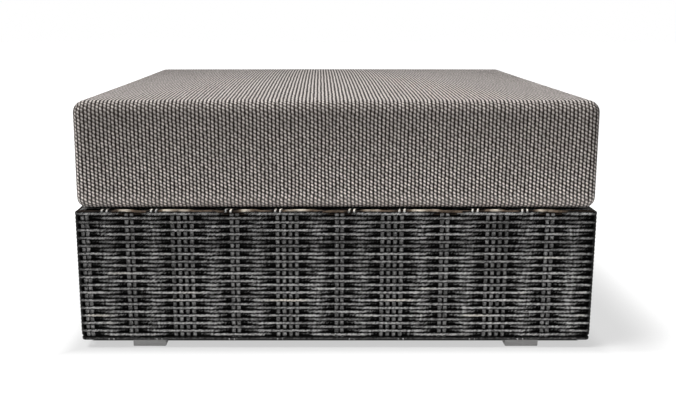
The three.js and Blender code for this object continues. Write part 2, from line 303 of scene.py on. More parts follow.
def join_pieces(name: str, objects: Sequence[Object]) -> Object:
    """Joins several objects into one, under a name.

    Args:
        name: the name.
        objects: the objects, which are used up.

    Returns:
        The joined object.
    """
    deselect()
    for obj in objects:
        obj.select_set(True)
    bpy.context.view_layer.objects.active = objects[0]
    bpy.ops.object.join()
    joined = bpy.context.object
    joined.name = joined.data.name = name
    return joined


def repeat_shape(name: str, shape: Object, places: Iterable[Matrix]) -> Object:
    """Makes one piece of many copies of a small shape, and removes the shape.

    Args:
        name: the piece's name.
        shape: the shape, modelled at the origin.
        places: one matrix for each copy.

    Returns:
        The piece that holds every copy.
    """
    mesh = shape.data
    corners = corners_of(mesh)
    faces = [list(p.vertices) for p in mesh.polygons]
    points: list[np.ndarray] = []
    polygons: list[list[int]] = []
    for place in places:
        matrix = np.array(place)
        start = len(points) * len(corners)
        points.append(corners @ matrix[:3, :3].T + matrix[:3, 3])
        polygons.extend([[i + start for i in face] for face in faces])
    whole = bpy.data.meshes.new(name)
    whole.from_pydata(np.concatenate(points).tolist(), [], polygons)
    whole.validate()
    bpy.data.objects.remove(shape)
    return add_object(name, whole)


def dress(
    obj: Object, material: Material, body: str, slot: str, *nodes: str
) -> Object:
    """Gives a finished piece its material and body, and hides the CAD nodes that it stands for.

    Args:
        obj: the finished piece.
        material: its material.
        body: the body that it rides on.
        slot: not used.
        nodes: the CAD nodes that it replaces.

    Returns:
        The same piece.
    """
    obj.data.materials.clear()
    obj.data.materials.append(material)
    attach(obj, body)
    if nodes:
        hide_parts(*nodes)
    return obj


def smoothstep(share: np.ndarray) -> np.ndarray:
    """A smooth rise from 0 to 1 while the share goes from 0 to 1."""
    held = np.clip(share, 0.0, 1.0)
    return held * held * (3.0 - 2.0 * held)


def ramp(value: np.ndarray, span: Span) -> np.ndarray:
    """0 before a span, 1 after it, and a straight rise between."""
    return np.clip((value - span[0]) / (span[1] - span[0]), 0.0, 1.0)


def add_height(plan: np.ndarray, height: float | np.ndarray) -> np.ndarray:
    """Points or directions in plan, with a height as one more column."""
    return np.column_stack([plan, np.broadcast_to(height, len(plan))])


def sum_waves(turns: np.ndarray, phase: np.ndarray, waves: Waves) -> np.ndarray:
    """The sum of some waves at each angle round the box, each wave from its own phase."""
    return sum(height * np.sin(count * turns + start) for start, (count, height) in zip(phase, waves))


# Node trees


@dataclass(frozen=True)
class Value:
    """What a node gives. Sums, differences, products and quotients of values add Math nodes."""

    graph: "Graph"
    socket: bpy.types.NodeSocket

    def __add__(self, other: "Value | float") -> "Value":
        """The sum of two values."""
        return self.graph.maths("ADD", self, other)

    def __sub__(self, other: "Value | float") -> "Value":
        """The difference of two values."""
        return self.graph.maths("SUBTRACT", self, other)

    def __mul__(self, other: "Value | float") -> "Value":
        """The product of two values."""
        return self.graph.maths("MULTIPLY", self, other)

    def __truediv__(self, other: "Value | float") -> "Value":
        """The quotient of two values."""
        return self.graph.maths("DIVIDE", self, other)

    def beside(self, output: int | str) -> "Value":
        """Another output of the same node."""
        return Value(self.graph, self.socket.node.outputs[output])


class Graph:
    """The node tree of a material or a world, with short calls that add nodes and join them."""

    def __init__(self, owner: Material | bpy.types.World) -> None:
        """Empties the owner's tree.

        Args:
            owner: the material or the world.
        """
        self.owner = owner
        owner.use_nodes = True
        self.tree = owner.node_tree
        self.tree.nodes.clear()

    def add(self, kind: str, inputs: dict[Any, Any], output: int | str = 0, **settings: Any) -> Value:
        """Adds a node.

        Args:
            kind: the node's type name, without the ShaderNode in front.
            inputs: what its inputs take, by name or number.
            output: the name or number of the output that is wanted.
            settings: its properties and their values.

        Returns:
            That output.
        """
        node = self.tree.nodes.new(f"ShaderNode{kind}")
        for name, value in settings.items():
            setattr(node, name, value)
        for key, value in inputs.items():
            if isinstance(value, Value):
                self.tree.links.new(value.socket, node.inputs[key])
            else:
                node.inputs[key].default_value = value
        return Value(self, node.outputs[output])

    def end(self, kind: str, surface: Value) -> None:
        """Adds the output node and joins the surface to it."""
        node = self.tree.nodes.new(f"ShaderNode{kind}")
        self.tree.links.new(surface.socket, node.inputs["Surface"])

    def maths(self, operation: str, *values: Value | float, clamp: bool = False) -> Value:
        """The result of one Math node on one, two or three values."""
        return self.add("Math", dict(enumerate(values)), operation=operation, use_clamp=clamp)

    def blend(self, share: Any, first: Any, second: Any, how: str = "MIX") -> Value:
        """Two colours mixed by a share."""
        inputs = {0: share, 6: first, 7: second}
        return self.add("Mix", inputs, 2, data_type="RGBA", blend_type=how)

    def shaded(self, colour: Colour, level: Value) -> Value:
        """A colour multiplied by a level."""
        return self.blend(1.0, colour, self.joined(level, level, level), "MULTIPLY")

    def remap(
        self, value: Value, span: Sequence[Any], to: Sequence[Any] = (0.0, 1.0), smooth: bool = True
    ) -> Value:
        """A value taken from one span to another, held at both ends."""
        inputs = dict(enumerate((value, *span, *to)))
        return self.add("MapRange", inputs, interpolation_type="SMOOTHSTEP" if smooth else "LINEAR")

    def noise(self, where: Value, grain: Grain) -> Value:
        """Noise from 0 to 1 on a vector."""
        inputs = dict(zip(("Scale", "Detail", "Roughness"), grain))
        return self.add("TexNoise", {"Vector": where, **inputs}, "Fac")

    def object_place(self, stretch: Sequence[float] = (1.0, 1.0, 1.0)) -> Value:
        """Object coordinates, scaled along each axis."""
        place = self.add("TexCoord", {}, "Object")
        return self.add("Mapping", {"Vector": place, "Scale": tuple(stretch)})

    def own_map(self) -> Value:
        """The piece's own UV map."""
        return self.add("UVMap", {}, uv_map="UVMap")

    def attribute(self, name: str) -> Value:
        """A number that each point of the piece holds."""
        return self.add("Attribute", {}, "Fac", attribute_name=name)

    def joined(self, x: Any, y: Any, z: Any = 0.0) -> Value:
        """A vector of three values."""
        return self.add("CombineXYZ", {0: x, 1: y, 2: z})

    def split(self, vector: Value) -> list[Value]:
        """The three parts of a vector or a colour."""
        first = self.add("SeparateXYZ", {0: vector})
        return [first.beside(i) for i in range(3)]

    def bump(self, height: Value, distance: float, strength: float) -> Value:
        """A normal raised by a height of 0 to 1 times a distance."""
        return self.add("Bump", {"Height": height, "Distance": distance, "Strength": strength})

    def finish(self, **inputs: Any) -> Material:
        """Ends a material with its shader.

        Args:
            inputs: what the shader takes, with underscores for the spaces.

        Returns:
            The finished material.
        """
        named = {key.replace("_", " "): value for key, value in inputs.items()}
        self.end("OutputMaterial", self.add("BsdfPrincipled", named))
        return self.owner


# Finishes


@dataclass(frozen=True)
class ResinFinish:
    """Charcoal resin strand: fine slanting streaks along each strand, a painted highlight on each crest and
    painted shade on its flanks.
    """

    name: str = "resin_strand"
    # Painted light: a strand runs from the near-black deep colour on its shaded flanks and hidden stretches
    # to the crest colour on its lit crest, and to cream as a painted highlight.
    deep: Colour = grey(0.0018, 0.06)
    crest: Colour = grey(0.55, 0.012)
    highlight_cream: Colour = (0.78, 0.72, 0.62, 1.0)
    highlight_tones: Span = (1.15, 2.0)
    crest_span: Span = (0.67, 1.0)
    ragged: float = 0.55
    wander: float = 0.75
    slant: float = 0.42
    drawn_out: float = 0.30
    streaks: Grain = (520.0, 3.0, 0.62)
    fine: Grain = (988.0, 2.0, 0.6)
    patches: Grain = (150.0, 2.0, 0.55)
    fine_span: Span = (0.30, 0.70)
    fine_light: Span = (0.62, 1.18)
    patch_span: Span = (0.32, 0.68)
    patch_light: Span = (0.48, 1.34)
    specular: float = 0.035
    grain_height: float = 0.00035
    grain_strength: float = 0.9
    roughness: Span = (0.44, 0.64)

    def make(self) -> Material:
        """Builds the material from the strand's own map, its tone, and the painted light and shade of its
        crest and flanks.

        Returns:
            The material.
        """
        graph = Graph(bpy.data.materials.new(self.name))
        tone = graph.attribute("tone")
        girth, along, _ = graph.split(graph.own_map())
        around = along * self.slant + girth
        where = graph.joined(around, along * self.drawn_out)
        streak = graph.noise(where, self.streaks)
        fine = graph.noise(where, self.fine)
        patch = graph.noise(graph.joined(around, along), self.patches)
        # The crest attribute is painted light: lit on the strand's outward side and painted shade on its
        # flanks.
        edge = (fine - 0.5) * self.ragged + graph.attribute("crest")
        edge = (streak - 0.5) * self.wander + edge
        shape = graph.remap(edge, self.crest_span)
        light = graph.remap(fine, self.fine_span, self.fine_light)
        uneven = graph.remap(patch, self.patch_span, self.patch_light)
        level = graph.maths("MULTIPLY", light * uneven * tone, shape, clamp=True)
        # Painted highlight: the lit colour turns cream where the tone is highest.
        painted_lit = graph.blend(graph.remap(tone, self.highlight_tones), self.crest, self.highlight_cream)
        return graph.finish(
            Base_Color=graph.blend(level, self.deep, painted_lit),
            Roughness=graph.remap(streak, MIDDLE, self.roughness),
            Specular_IOR_Level=self.specular,
            Normal=graph.bump(streak, self.grain_height, self.grain_strength),
        )


@dataclass(frozen=True)
class TweedFinish:
    """Tweed: light yarn floats in staggered columns over a dark ground.

    Lengths are in metres of cloth, and heights are measured from the middle of the boxing.
    """

    name: str = "tweed_cover"
    light: Colour = (0.86, 0.79, 0.752, 1.0)
    dark: Colour = (0.020, 0.0155, 0.013, 1.0)
    ground: Colour = (0.156, 0.135, 0.122, 1.0)
    packed_ground: Colour = (0.46, 0.42, 0.395, 1.0)
    column: float = 0.00575
    float_pitch: float = 0.0057
    float_edge: Span = (0.00256, 0.00090)
    long_axis: float = 0.80
    short_axis: float = 1.26
    sway: Grain = (17.0, 2.0, 0.5)
    lean: Grain = (23.0, 2.0, 0.5)
    lean_layer: float = 3.1
    sway_reach: float = 0.0016
    lean_reach: float = 0.0014
    jitter_layer: float = 0.5
    jitter_across: float = 0.14
    jitter_up: float = 0.16
    fibres: Grain = (2600.0, 2.0, 0.6)
    fibre_drawn_out: float = 0.35
    fibre_shift: float = 0.01
    fibre_reach: float = 0.0011
    fibre_span: Span = (0.3, 0.75)
    fibre_light: Span = (0.86, 1.08)
    yarn_light: Span = (0.72, 1.06)
    wear: Grain = (9.0, 3.0, 0.5)
    wear_light: Span = (0.95, 1.04)
    gap_core: Span = (0.0022, 0.0010)
    # Painted light: the boxing is painted paler towards its foot and darker towards its top, and the top gets
    # a level of its own.
    boxing: Span = (-0.078, 0.070)
    boxing_light: Span = (1.34, 0.74)
    foot: Span = (-0.074, -0.054)
    foot_softness: float = 0.32
    foot_ground: float = 0.9
    top: Span = (0.0775, 0.0890)
    top_level: float = 0.82
    packed: float = 0.20
    relief: float = 0.0011
    relief_strength: float = 0.85
    fibre_relief: float = 0.12

    def make(self) -> Material:
        """Builds the material from the cover's own map, which is in metres.

        Returns:
            The material.
        """
        graph = Graph(bpy.data.materials.new(self.name))
        own = graph.own_map()
        u, v, _ = graph.split(own)
        across = (graph.noise(own, self.sway) - 0.5) * self.sway_reach + u
        lean = graph.noise(graph.joined(v, u, self.lean_layer), self.lean)
        up = (lean - 0.5) * self.lean_reach + v
        columns = across / self.column
        column = graph.maths("FLOOR", columns)
        floats = up / self.float_pitch + graph.maths("FLOORED_MODULO", column, 2.0) * 0.5
        place = graph.joined(column, graph.maths("FLOOR", floats), self.jitter_layer)
        jitter = graph.add("TexWhiteNoise", {0: place}, noise_dimensions="3D")
        _, nudge, bright = graph.split(jitter.beside(1))
        on_top = graph.remap(v, self.top)
        x = graph.maths("FRACT", columns) - 0.5 + (jitter - 0.5) * self.jitter_across
        x = x * self.column * (on_top * self.packed + 1.0)
        y = graph.maths("FRACT", floats) - 0.5 + (nudge - 0.5) * self.jitter_up
        y = y * self.float_pitch
        falling = (x - y) * (math.sqrt(0.5) * self.long_axis)
        rising = (x + y) * (math.sqrt(0.5) * self.short_axis)
        reach = graph.maths("SQRT", falling * falling + rising * rising)
        thread = graph.joined((across + up) * self.fibre_drawn_out, up - across, jitter * self.fibre_shift)
        fibre = graph.noise(thread, self.fibres)
        reach = (fibre - 0.5) * self.fibre_reach + reach
        # Painted light: paler at the foot of the boxing, darker at its top, and the top at a level of its
        # own.
        painted_gradient = graph.remap(v, self.boxing, self.boxing_light, smooth=False)
        painted_gradient = graph.remap(on_top, (0.0, 1.0), (painted_gradient, self.top_level), smooth=False)
        level = graph.remap(bright, (0.0, 1.0), self.yarn_light, smooth=False) * painted_gradient
        level = level * graph.remap(graph.noise(own, self.wear), MIDDLE, self.wear_light)
        level = level * graph.remap(fibre, self.fibre_span, self.fibre_light)
        soft = graph.remap(v, self.foot, (self.foot_softness, 0.0))
        ground = graph.blend(graph.maths("MAXIMUM", on_top, soft), self.ground, self.packed_ground)
        core = graph.remap(graph.maths("ABSOLUTE", x), self.gap_core)
        below = graph.blend(soft * self.foot_ground + core, self.dark, ground)
        yarn = graph.remap(reach, self.float_edge)
        dome = fibre * self.fibre_relief + graph.remap(reach, (self.float_edge[0], 0.0))
        return graph.finish(
            Base_Color=graph.blend(yarn, below, graph.shaded(self.light, level)),
            Roughness=0.92,
            Specular_IOR_Level=0.12,
            Sheen_Weight=0.08,
            Sheen_Roughness=0.5,
            Normal=graph.bump(dome, self.relief, self.relief_strength),
        )


@dataclass(frozen=True)
class GrainFinish:
    """A painted, moulded or cast surface: a colour with a fine grain, and a grain direction."""

    name: str
    colour: Colour
    roughness: float
    metallic: float = 0.0
    grain: float = 900.0
    stretch: tuple[float, float, float] = (1.0, 1.0, 1.0)
    contrast: float = 0.18
    height: float = 0.00006
    fine_span: Span = (0.25, 0.75)
    broader: float = 14.0
    broad_light: Span = (0.93, 1.06)
    smoother: float = 0.07
    rougher: float = 0.09

    def make(self) -> Material:
        """Builds the material on Object coordinates.

        Returns:
            The material.
        """
        graph = Graph(bpy.data.materials.new(self.name))
        place = graph.object_place(self.stretch)
        fine = graph.noise(place, (self.grain, 3.0, 0.6))
        broad = graph.noise(place, (self.grain / self.broader, 2.0, 0.5))
        shade = graph.remap(fine, self.fine_span, (1 - self.contrast, 1 + self.contrast))
        shade = shade * graph.remap(broad, MIDDLE, self.broad_light)
        rough = (self.roughness - self.smoother, self.roughness + self.rougher)
        return graph.finish(
            Base_Color=graph.shaded(self.colour, shade),
            Roughness=graph.remap(fine, MIDDLE, rough),
            Metallic=self.metallic,
            Normal=graph.bump(fine, self.height, 0.7),
        )


@dataclass(frozen=True)
class ClothFinish:
    """A plain ribbed cloth, such as zip tape or thread, on Object coordinates."""

    name: str
    colour: Colour
    rib: float
    fuzz: Grain = (1800.0, 3.0, 0.6)
    fuzz_light: Span = (0.86, 1.12)
    fuzz_height: float = 0.3
    cross_height: float = 0.4
    rib_light: Span = (0.62, 1.18)

    def make(self) -> Material:
        """Builds the material from slanting ribs crossed by fine ones.

        Returns:
            The material.
        """
        graph = Graph(bpy.data.materials.new(self.name))
        place = graph.object_place()
        x, _, z = graph.split(place)
        rib, cross = (graph.maths("SINE", way * (2 * math.pi / self.rib)) for way in (x + z, z))
        fuzz = graph.noise(place, self.fuzz)
        height = graph.remap(rib, (-1.0, 1.0)) + graph.remap(cross, (-1.0, 1.0), (0.0, self.cross_height))
        shade = graph.remap(height, (0.0, 1.0 + self.cross_height), self.rib_light)
        return graph.finish(
            Base_Color=graph.shaded(self.colour, shade * graph.remap(fuzz, MIDDLE, self.fuzz_light)),
            Roughness=0.88,
            Specular_IOR_Level=0.3,
            Normal=graph.bump(fuzz * self.fuzz_height + height, self.rib / 4, 0.8),
        )


@dataclass(frozen=True)
class FoamFinish:
    """Open-cell foam or wadding: pores or loose fibres, on Object coordinates."""

    name: str
    colour: Colour
    cells: float
    stretch: tuple[float, float, float]
    height: float
    fuzz_share: float = 0.6
    cell_span: Span = (0.0, 0.6)
    cell_light: Span = (0.72, 1.0)
    fuzz_light: Span = (0.88, 1.05)

    def make(self) -> Material:
        """Builds the material from cells and noise.

        Returns:
            The material.
        """
        graph = Graph(bpy.data.materials.new(self.name))
        place = graph.object_place(self.stretch)
        cell = graph.add("TexVoronoi", {"Vector": place, "Scale": self.cells}, "Distance")
        fuzz = graph.noise(place, (self.cells * self.fuzz_share, 4.0, 0.65))
        # Painted shade in the pores: each pore darker towards its middle.
        pore_shade = graph.remap(cell, self.cell_span, self.cell_light) * graph.remap(fuzz, MIDDLE, self.fuzz_light)
        return graph.finish(
            Base_Color=graph.shaded(self.colour, pore_shade),
            Roughness=0.95,
            Specular_IOR_Level=0.2,
            Normal=graph.bump(pore_shade, self.height, 0.8),
        )


class Finish(Enum):
    """The finishes of this footstool, each under the name of its material."""

    RESIN = "resin_strand"
    BORDER = "resin_border"
    TUBE = "frame_tube"
    FOOT = "foot_plastic"
    PAD = "glide_pad"
    STEEL = "screw_steel"
    TWEED = "tweed_cover"
    FOAM = "foam"
    WADDING = "wadding"
    TAPE = "zip_tape"
    COIL = "zip_coil"
    METAL = "zip_metal"
    THREAD = "tweed_thread"


def make_finishes() -> dict[Finish, Material]:
    """Builds every material once.

    Returns:
        Each material, under its finish.
    """
    # The border strand: painted shade, lit crest and painted highlight in browner colours.
    border = ResinFinish(
        name="resin_border",
        deep=(0.007, 0.0052, 0.0042, 1.0),
        crest=(0.17, 0.125, 0.092, 1.0),
        highlight_cream=(0.70, 0.64, 0.54, 1.0),
        crest_span=(0.42, 0.95),
        ragged=0.6,
        wander=0.9,
    )
    drawn = (0.06, 1.0, 1.0)
    finishes = [
        ResinFinish(),
        border,
        TweedFinish(),
        GrainFinish("frame_tube", grey(0.028), 0.5, 0.2, 1400.0, height=0.00008),
        GrainFinish("foot_plastic", grey(0.33, 0.01), 0.46, 0.06, 1100.0, drawn, 0.09),
        GrainFinish("glide_pad", grey(0.04), 0.85, 0.0, 700.0, contrast=0.3, height=0.0002),
        GrainFinish("screw_steel", grey(0.52), 0.3, 1.0, 2200.0, contrast=0.08),
        GrainFinish("zip_metal", grey(0.30, 0.02), 0.34, 1.0, 2600.0, contrast=0.12),
        GrainFinish("zip_coil", grey(0.022, 0.04), 0.42, 0.0, 2600.0, contrast=0.2),
        ClothFinish("zip_tape", grey(0.036, 0.05), 0.0011),
        ClothFinish("tweed_thread", grey(0.17, 0.06), 0.0007),
        FoamFinish("foam", (0.74, 0.69, 0.56, 1.0), 620.0, (1.0, 1.0, 1.0), 0.0008),
        FoamFinish("wadding", (0.83, 0.83, 0.81, 1.0), 300.0, (0.35, 1.0, 1.0), 0.0015),
    ]
    return {Finish(finish.name): finish.make() for finish in finishes}


# Woven strands


@dataclass
class Strand:
    """One strand: its centre line, the direction of its width, its section and its tone.

    The line is an (n, 3) array of points. Across is the unit direction of the width, one for
    all points or one for each. Width, thickness and tone, which may carry painted shade, may change
    along the strand. Its flank shade is how far painted shade darkens the flanks against the lit
    crest, and its crest shade how much painted shade narrows the lit crest.
    """

    line: np.ndarray
    across: np.ndarray
    width: float | np.ndarray
    thickness: float | np.ndarray
    tone: float | np.ndarray
    closed: bool = False
    fade: float = 1.0
    crest_shade: float | np.ndarray = 0.0


@dataclass
class StrandBundle:
    """Many strands that make one piece.

    Strands that lie over and under each other can't be had from a primitive by edit-mode
    operators, so each is swept here along its own line: a ring of points at each point of the
    line, quads between the rings, and caps on open ends.
    """

    name: str
    sides: int = 8
    map_step: float = 0.731
    strands: list[Strand] = field(default_factory=list)

    def rings(self, strand: Strand) -> tuple[np.ndarray, np.ndarray]:
        """The points round a strand and how far along it each ring lies.

        Args:
            strand: the strand to sweep.

        Returns:
            An (n, sides, 3) array of points, and the n lengths in metres.
        """
        line = strand.line
        if strand.closed:
            ahead, behind = np.roll(line, -1, axis=0), np.roll(line, 1, axis=0)
        else:
            ahead = np.vstack([line[1:], 2 * line[-1] - line[-2]])
            behind = np.vstack([2 * line[0] - line[1], line[:-1]])
        tangent = ahead - behind
        tangent /= np.linalg.norm(tangent, axis=1, keepdims=True)
        across = np.broadcast_to(strand.across, line.shape)
        outward = np.cross(tangent, across)
        outward /= np.linalg.norm(outward, axis=1, keepdims=True)
        angles = 2 * math.pi * np.arange(self.sides) / self.sides
        half_width = np.broadcast_to(np.asarray(strand.width) / 2, len(line))[:, None, None]
        half_depth = np.broadcast_to(np.asarray(strand.thickness) / 2, len(line))[:, None, None]
        points = (
            line[:, None, :]
            + across[:, None, :] * half_width * np.cos(angles)[None, :, None]
            + outward[:, None, :] * half_depth * np.sin(angles)[None, :, None]
        )
        steps = np.linalg.norm(np.diff(line, axis=0), axis=1)
        return points, np.concatenate([[0.0], np.cumsum(steps)])

    def build(self) -> Object:
        """Makes the piece, with its UV map and its tone and crest attributes, which carry painted light and
        shade.

        Returns:
            The piece.
        """
        points: list[np.ndarray] = []
        tones: list[np.ndarray] = []
        crests: list[np.ndarray] = []
        faces: list[np.ndarray] = []
        maps: list[np.ndarray] = []
        caps: list[list[int]] = []
        start = 0
        sides = self.sides
        turn = np.arange(sides)
        for number, strand in enumerate(self.strands):
            ring_points, lengths = self.rings(strand)
            count = len(ring_points)
            cells = count if strand.closed else count - 1
            low = np.arange(cells)
            high = (low + 1) % count
            quads = np.stack([
                low[:, None] * sides + turn[None, :],
                low[:, None] * sides + (turn[None, :] + 1) % sides,
                high[:, None] * sides + (turn[None, :] + 1) % sides,
                high[:, None] * sides + turn[None, :],
            ], axis=-1).reshape(-1, 4) + start
            girth = math.pi * float(np.mean(strand.width) + np.mean(strand.thickness)) / 2
            near = lengths[low]
            closing = np.linalg.norm(strand.line[0] - strand.line[-1])
            far = np.where(low + 1 < count, lengths[high], near + closing)
            u0 = np.broadcast_to(turn[None, :] / sides, (cells, sides)) * girth
            u1 = np.broadcast_to((turn[None, :] + 1) / sides, (cells, sides)) * girth
            v0 = np.broadcast_to(near[:, None], (cells, sides)) + number * self.map_step
            v1 = np.broadcast_to(far[:, None], (cells, sides)) + number * self.map_step
            corners = np.stack([
                np.stack([u0, v0], -1), np.stack([u1, v0], -1),
                np.stack([u1, v1], -1), np.stack([u0, v1], -1),
            ], axis=-2)
            points.append(ring_points.reshape(-1, 3))
            # Painted light on each ring: lit on its outward side, painted shade on its flanks, and less lit
            # where its crest is shaded.
            facing = np.maximum(0.0, np.sin(2 * math.pi * turn / sides))
            crest_shade = np.broadcast_to(np.asarray(strand.crest_shade, float), count)
            crests.append((1 - strand.fade * (1 - facing)[None, :] - crest_shade[:, None]).ravel())
            tones.append(np.repeat(np.broadcast_to(np.asarray(strand.tone, float), count), sides))
            faces.append(quads)
            maps.append(corners.reshape(-1, 2))
            if not strand.closed:
                caps.append([start + int(i) for i in turn[::-1]])
                caps.append([start + (count - 1) * sides + int(i) for i in turn])
            start += count * sides
        quads_all = np.concatenate(faces)
        mesh = bpy.data.meshes.new(self.name)
        mesh.from_pydata(np.concatenate(points).tolist(), [], quads_all.tolist() + caps)
        layer = mesh.uv_layers.new(name="UVMap")
        flat = np.zeros((len(mesh.loops), 2), np.float32)
        side_maps = np.concatenate(maps)
        flat[: len(side_maps)] = side_maps
        layer.data.foreach_set("uv", flat.ravel())
        for label, values in (("tone", tones), ("crest", crests)):
            attribute = mesh.attributes.new(label, "FLOAT", "POINT")
            attribute.data.foreach_set("value", np.concatenate(values).astype(np.float32))
        smooth = np.ones(len(mesh.polygons), bool)
        smooth[len(quads_all):] = False
        mesh.polygons.foreach_set("use_smooth", smooth)
        return add_object(self.name, mesh)


@dataclass(frozen=True)
class Perimeter:
    """A square with rounded corners, followed from the left end of the front, seen from above."""

    half: float
    radius: float

    @property
    def straight(self) -> float:
        """The length of one straight stretch."""
        return 2 * (self.half - self.radius)

    @property
    def side(self) -> float:
        """One straight stretch with the corner after it."""
        return self.straight + self.radius * math.pi / 2

    @property
    def length(self) -> float:
        """The whole way round."""
        return 4 * self.side

    def at(self, s: np.ndarray, outward: np.ndarray | float = 0.0) -> tuple[np.ndarray, np.ndarray]:
        """Points along the way, moved outwards by an offset, and their outward directions.

        Args:
            s: lengths along the way.
            outward: the offset of each point.

        Returns:
            Two (n, 2) arrays in plan.
        """
        wrapped = np.mod(s, self.length)
        quarter = np.floor(wrapped / self.side)
        along = wrapped - quarter * self.side
        angle = np.clip((along - self.straight) / self.radius, 0.0, math.pi / 2)
        inner = self.half - self.radius
        x = np.where(along < self.straight, along - inner, inner + self.radius * np.sin(angle))
        y = -inner - self.radius * np.cos(angle)
        normal = np.stack([np.sin(angle), -np.cos(angle)], axis=-1)
        place = np.stack([x, y], axis=-1) + normal * np.broadcast_to(outward, x.shape)[:, None]
        turn = quarter * math.pi / 2
        cos, sin = np.cos(turn), np.sin(turn)
        turned = [np.stack([v[:, 0] * cos - v[:, 1] * sin, v[:, 0] * sin + v[:, 1] * cos], axis=-1)
                  for v in (place, normal)]
        return turned[0], turned[1]

    def samples(self, spacing: float, corner_steps: int = 6) -> np.ndarray:
        """Lengths at an even spacing, closer together round the corners.

        Args:
            spacing: the greatest spacing.
            corner_steps: how many lengths each corner gets.

        Returns:
            The lengths, from the start of the way.
        """
        even = np.linspace(0.0, self.length, int(self.length / spacing), endpoint=False)
        arcs = [k * self.side + self.straight + np.linspace(0, self.side - self.straight, corner_steps)
                for k in range(4)]
        return np.unique(np.mod(np.concatenate([even, *arcs]), self.length).round(DIGITS))


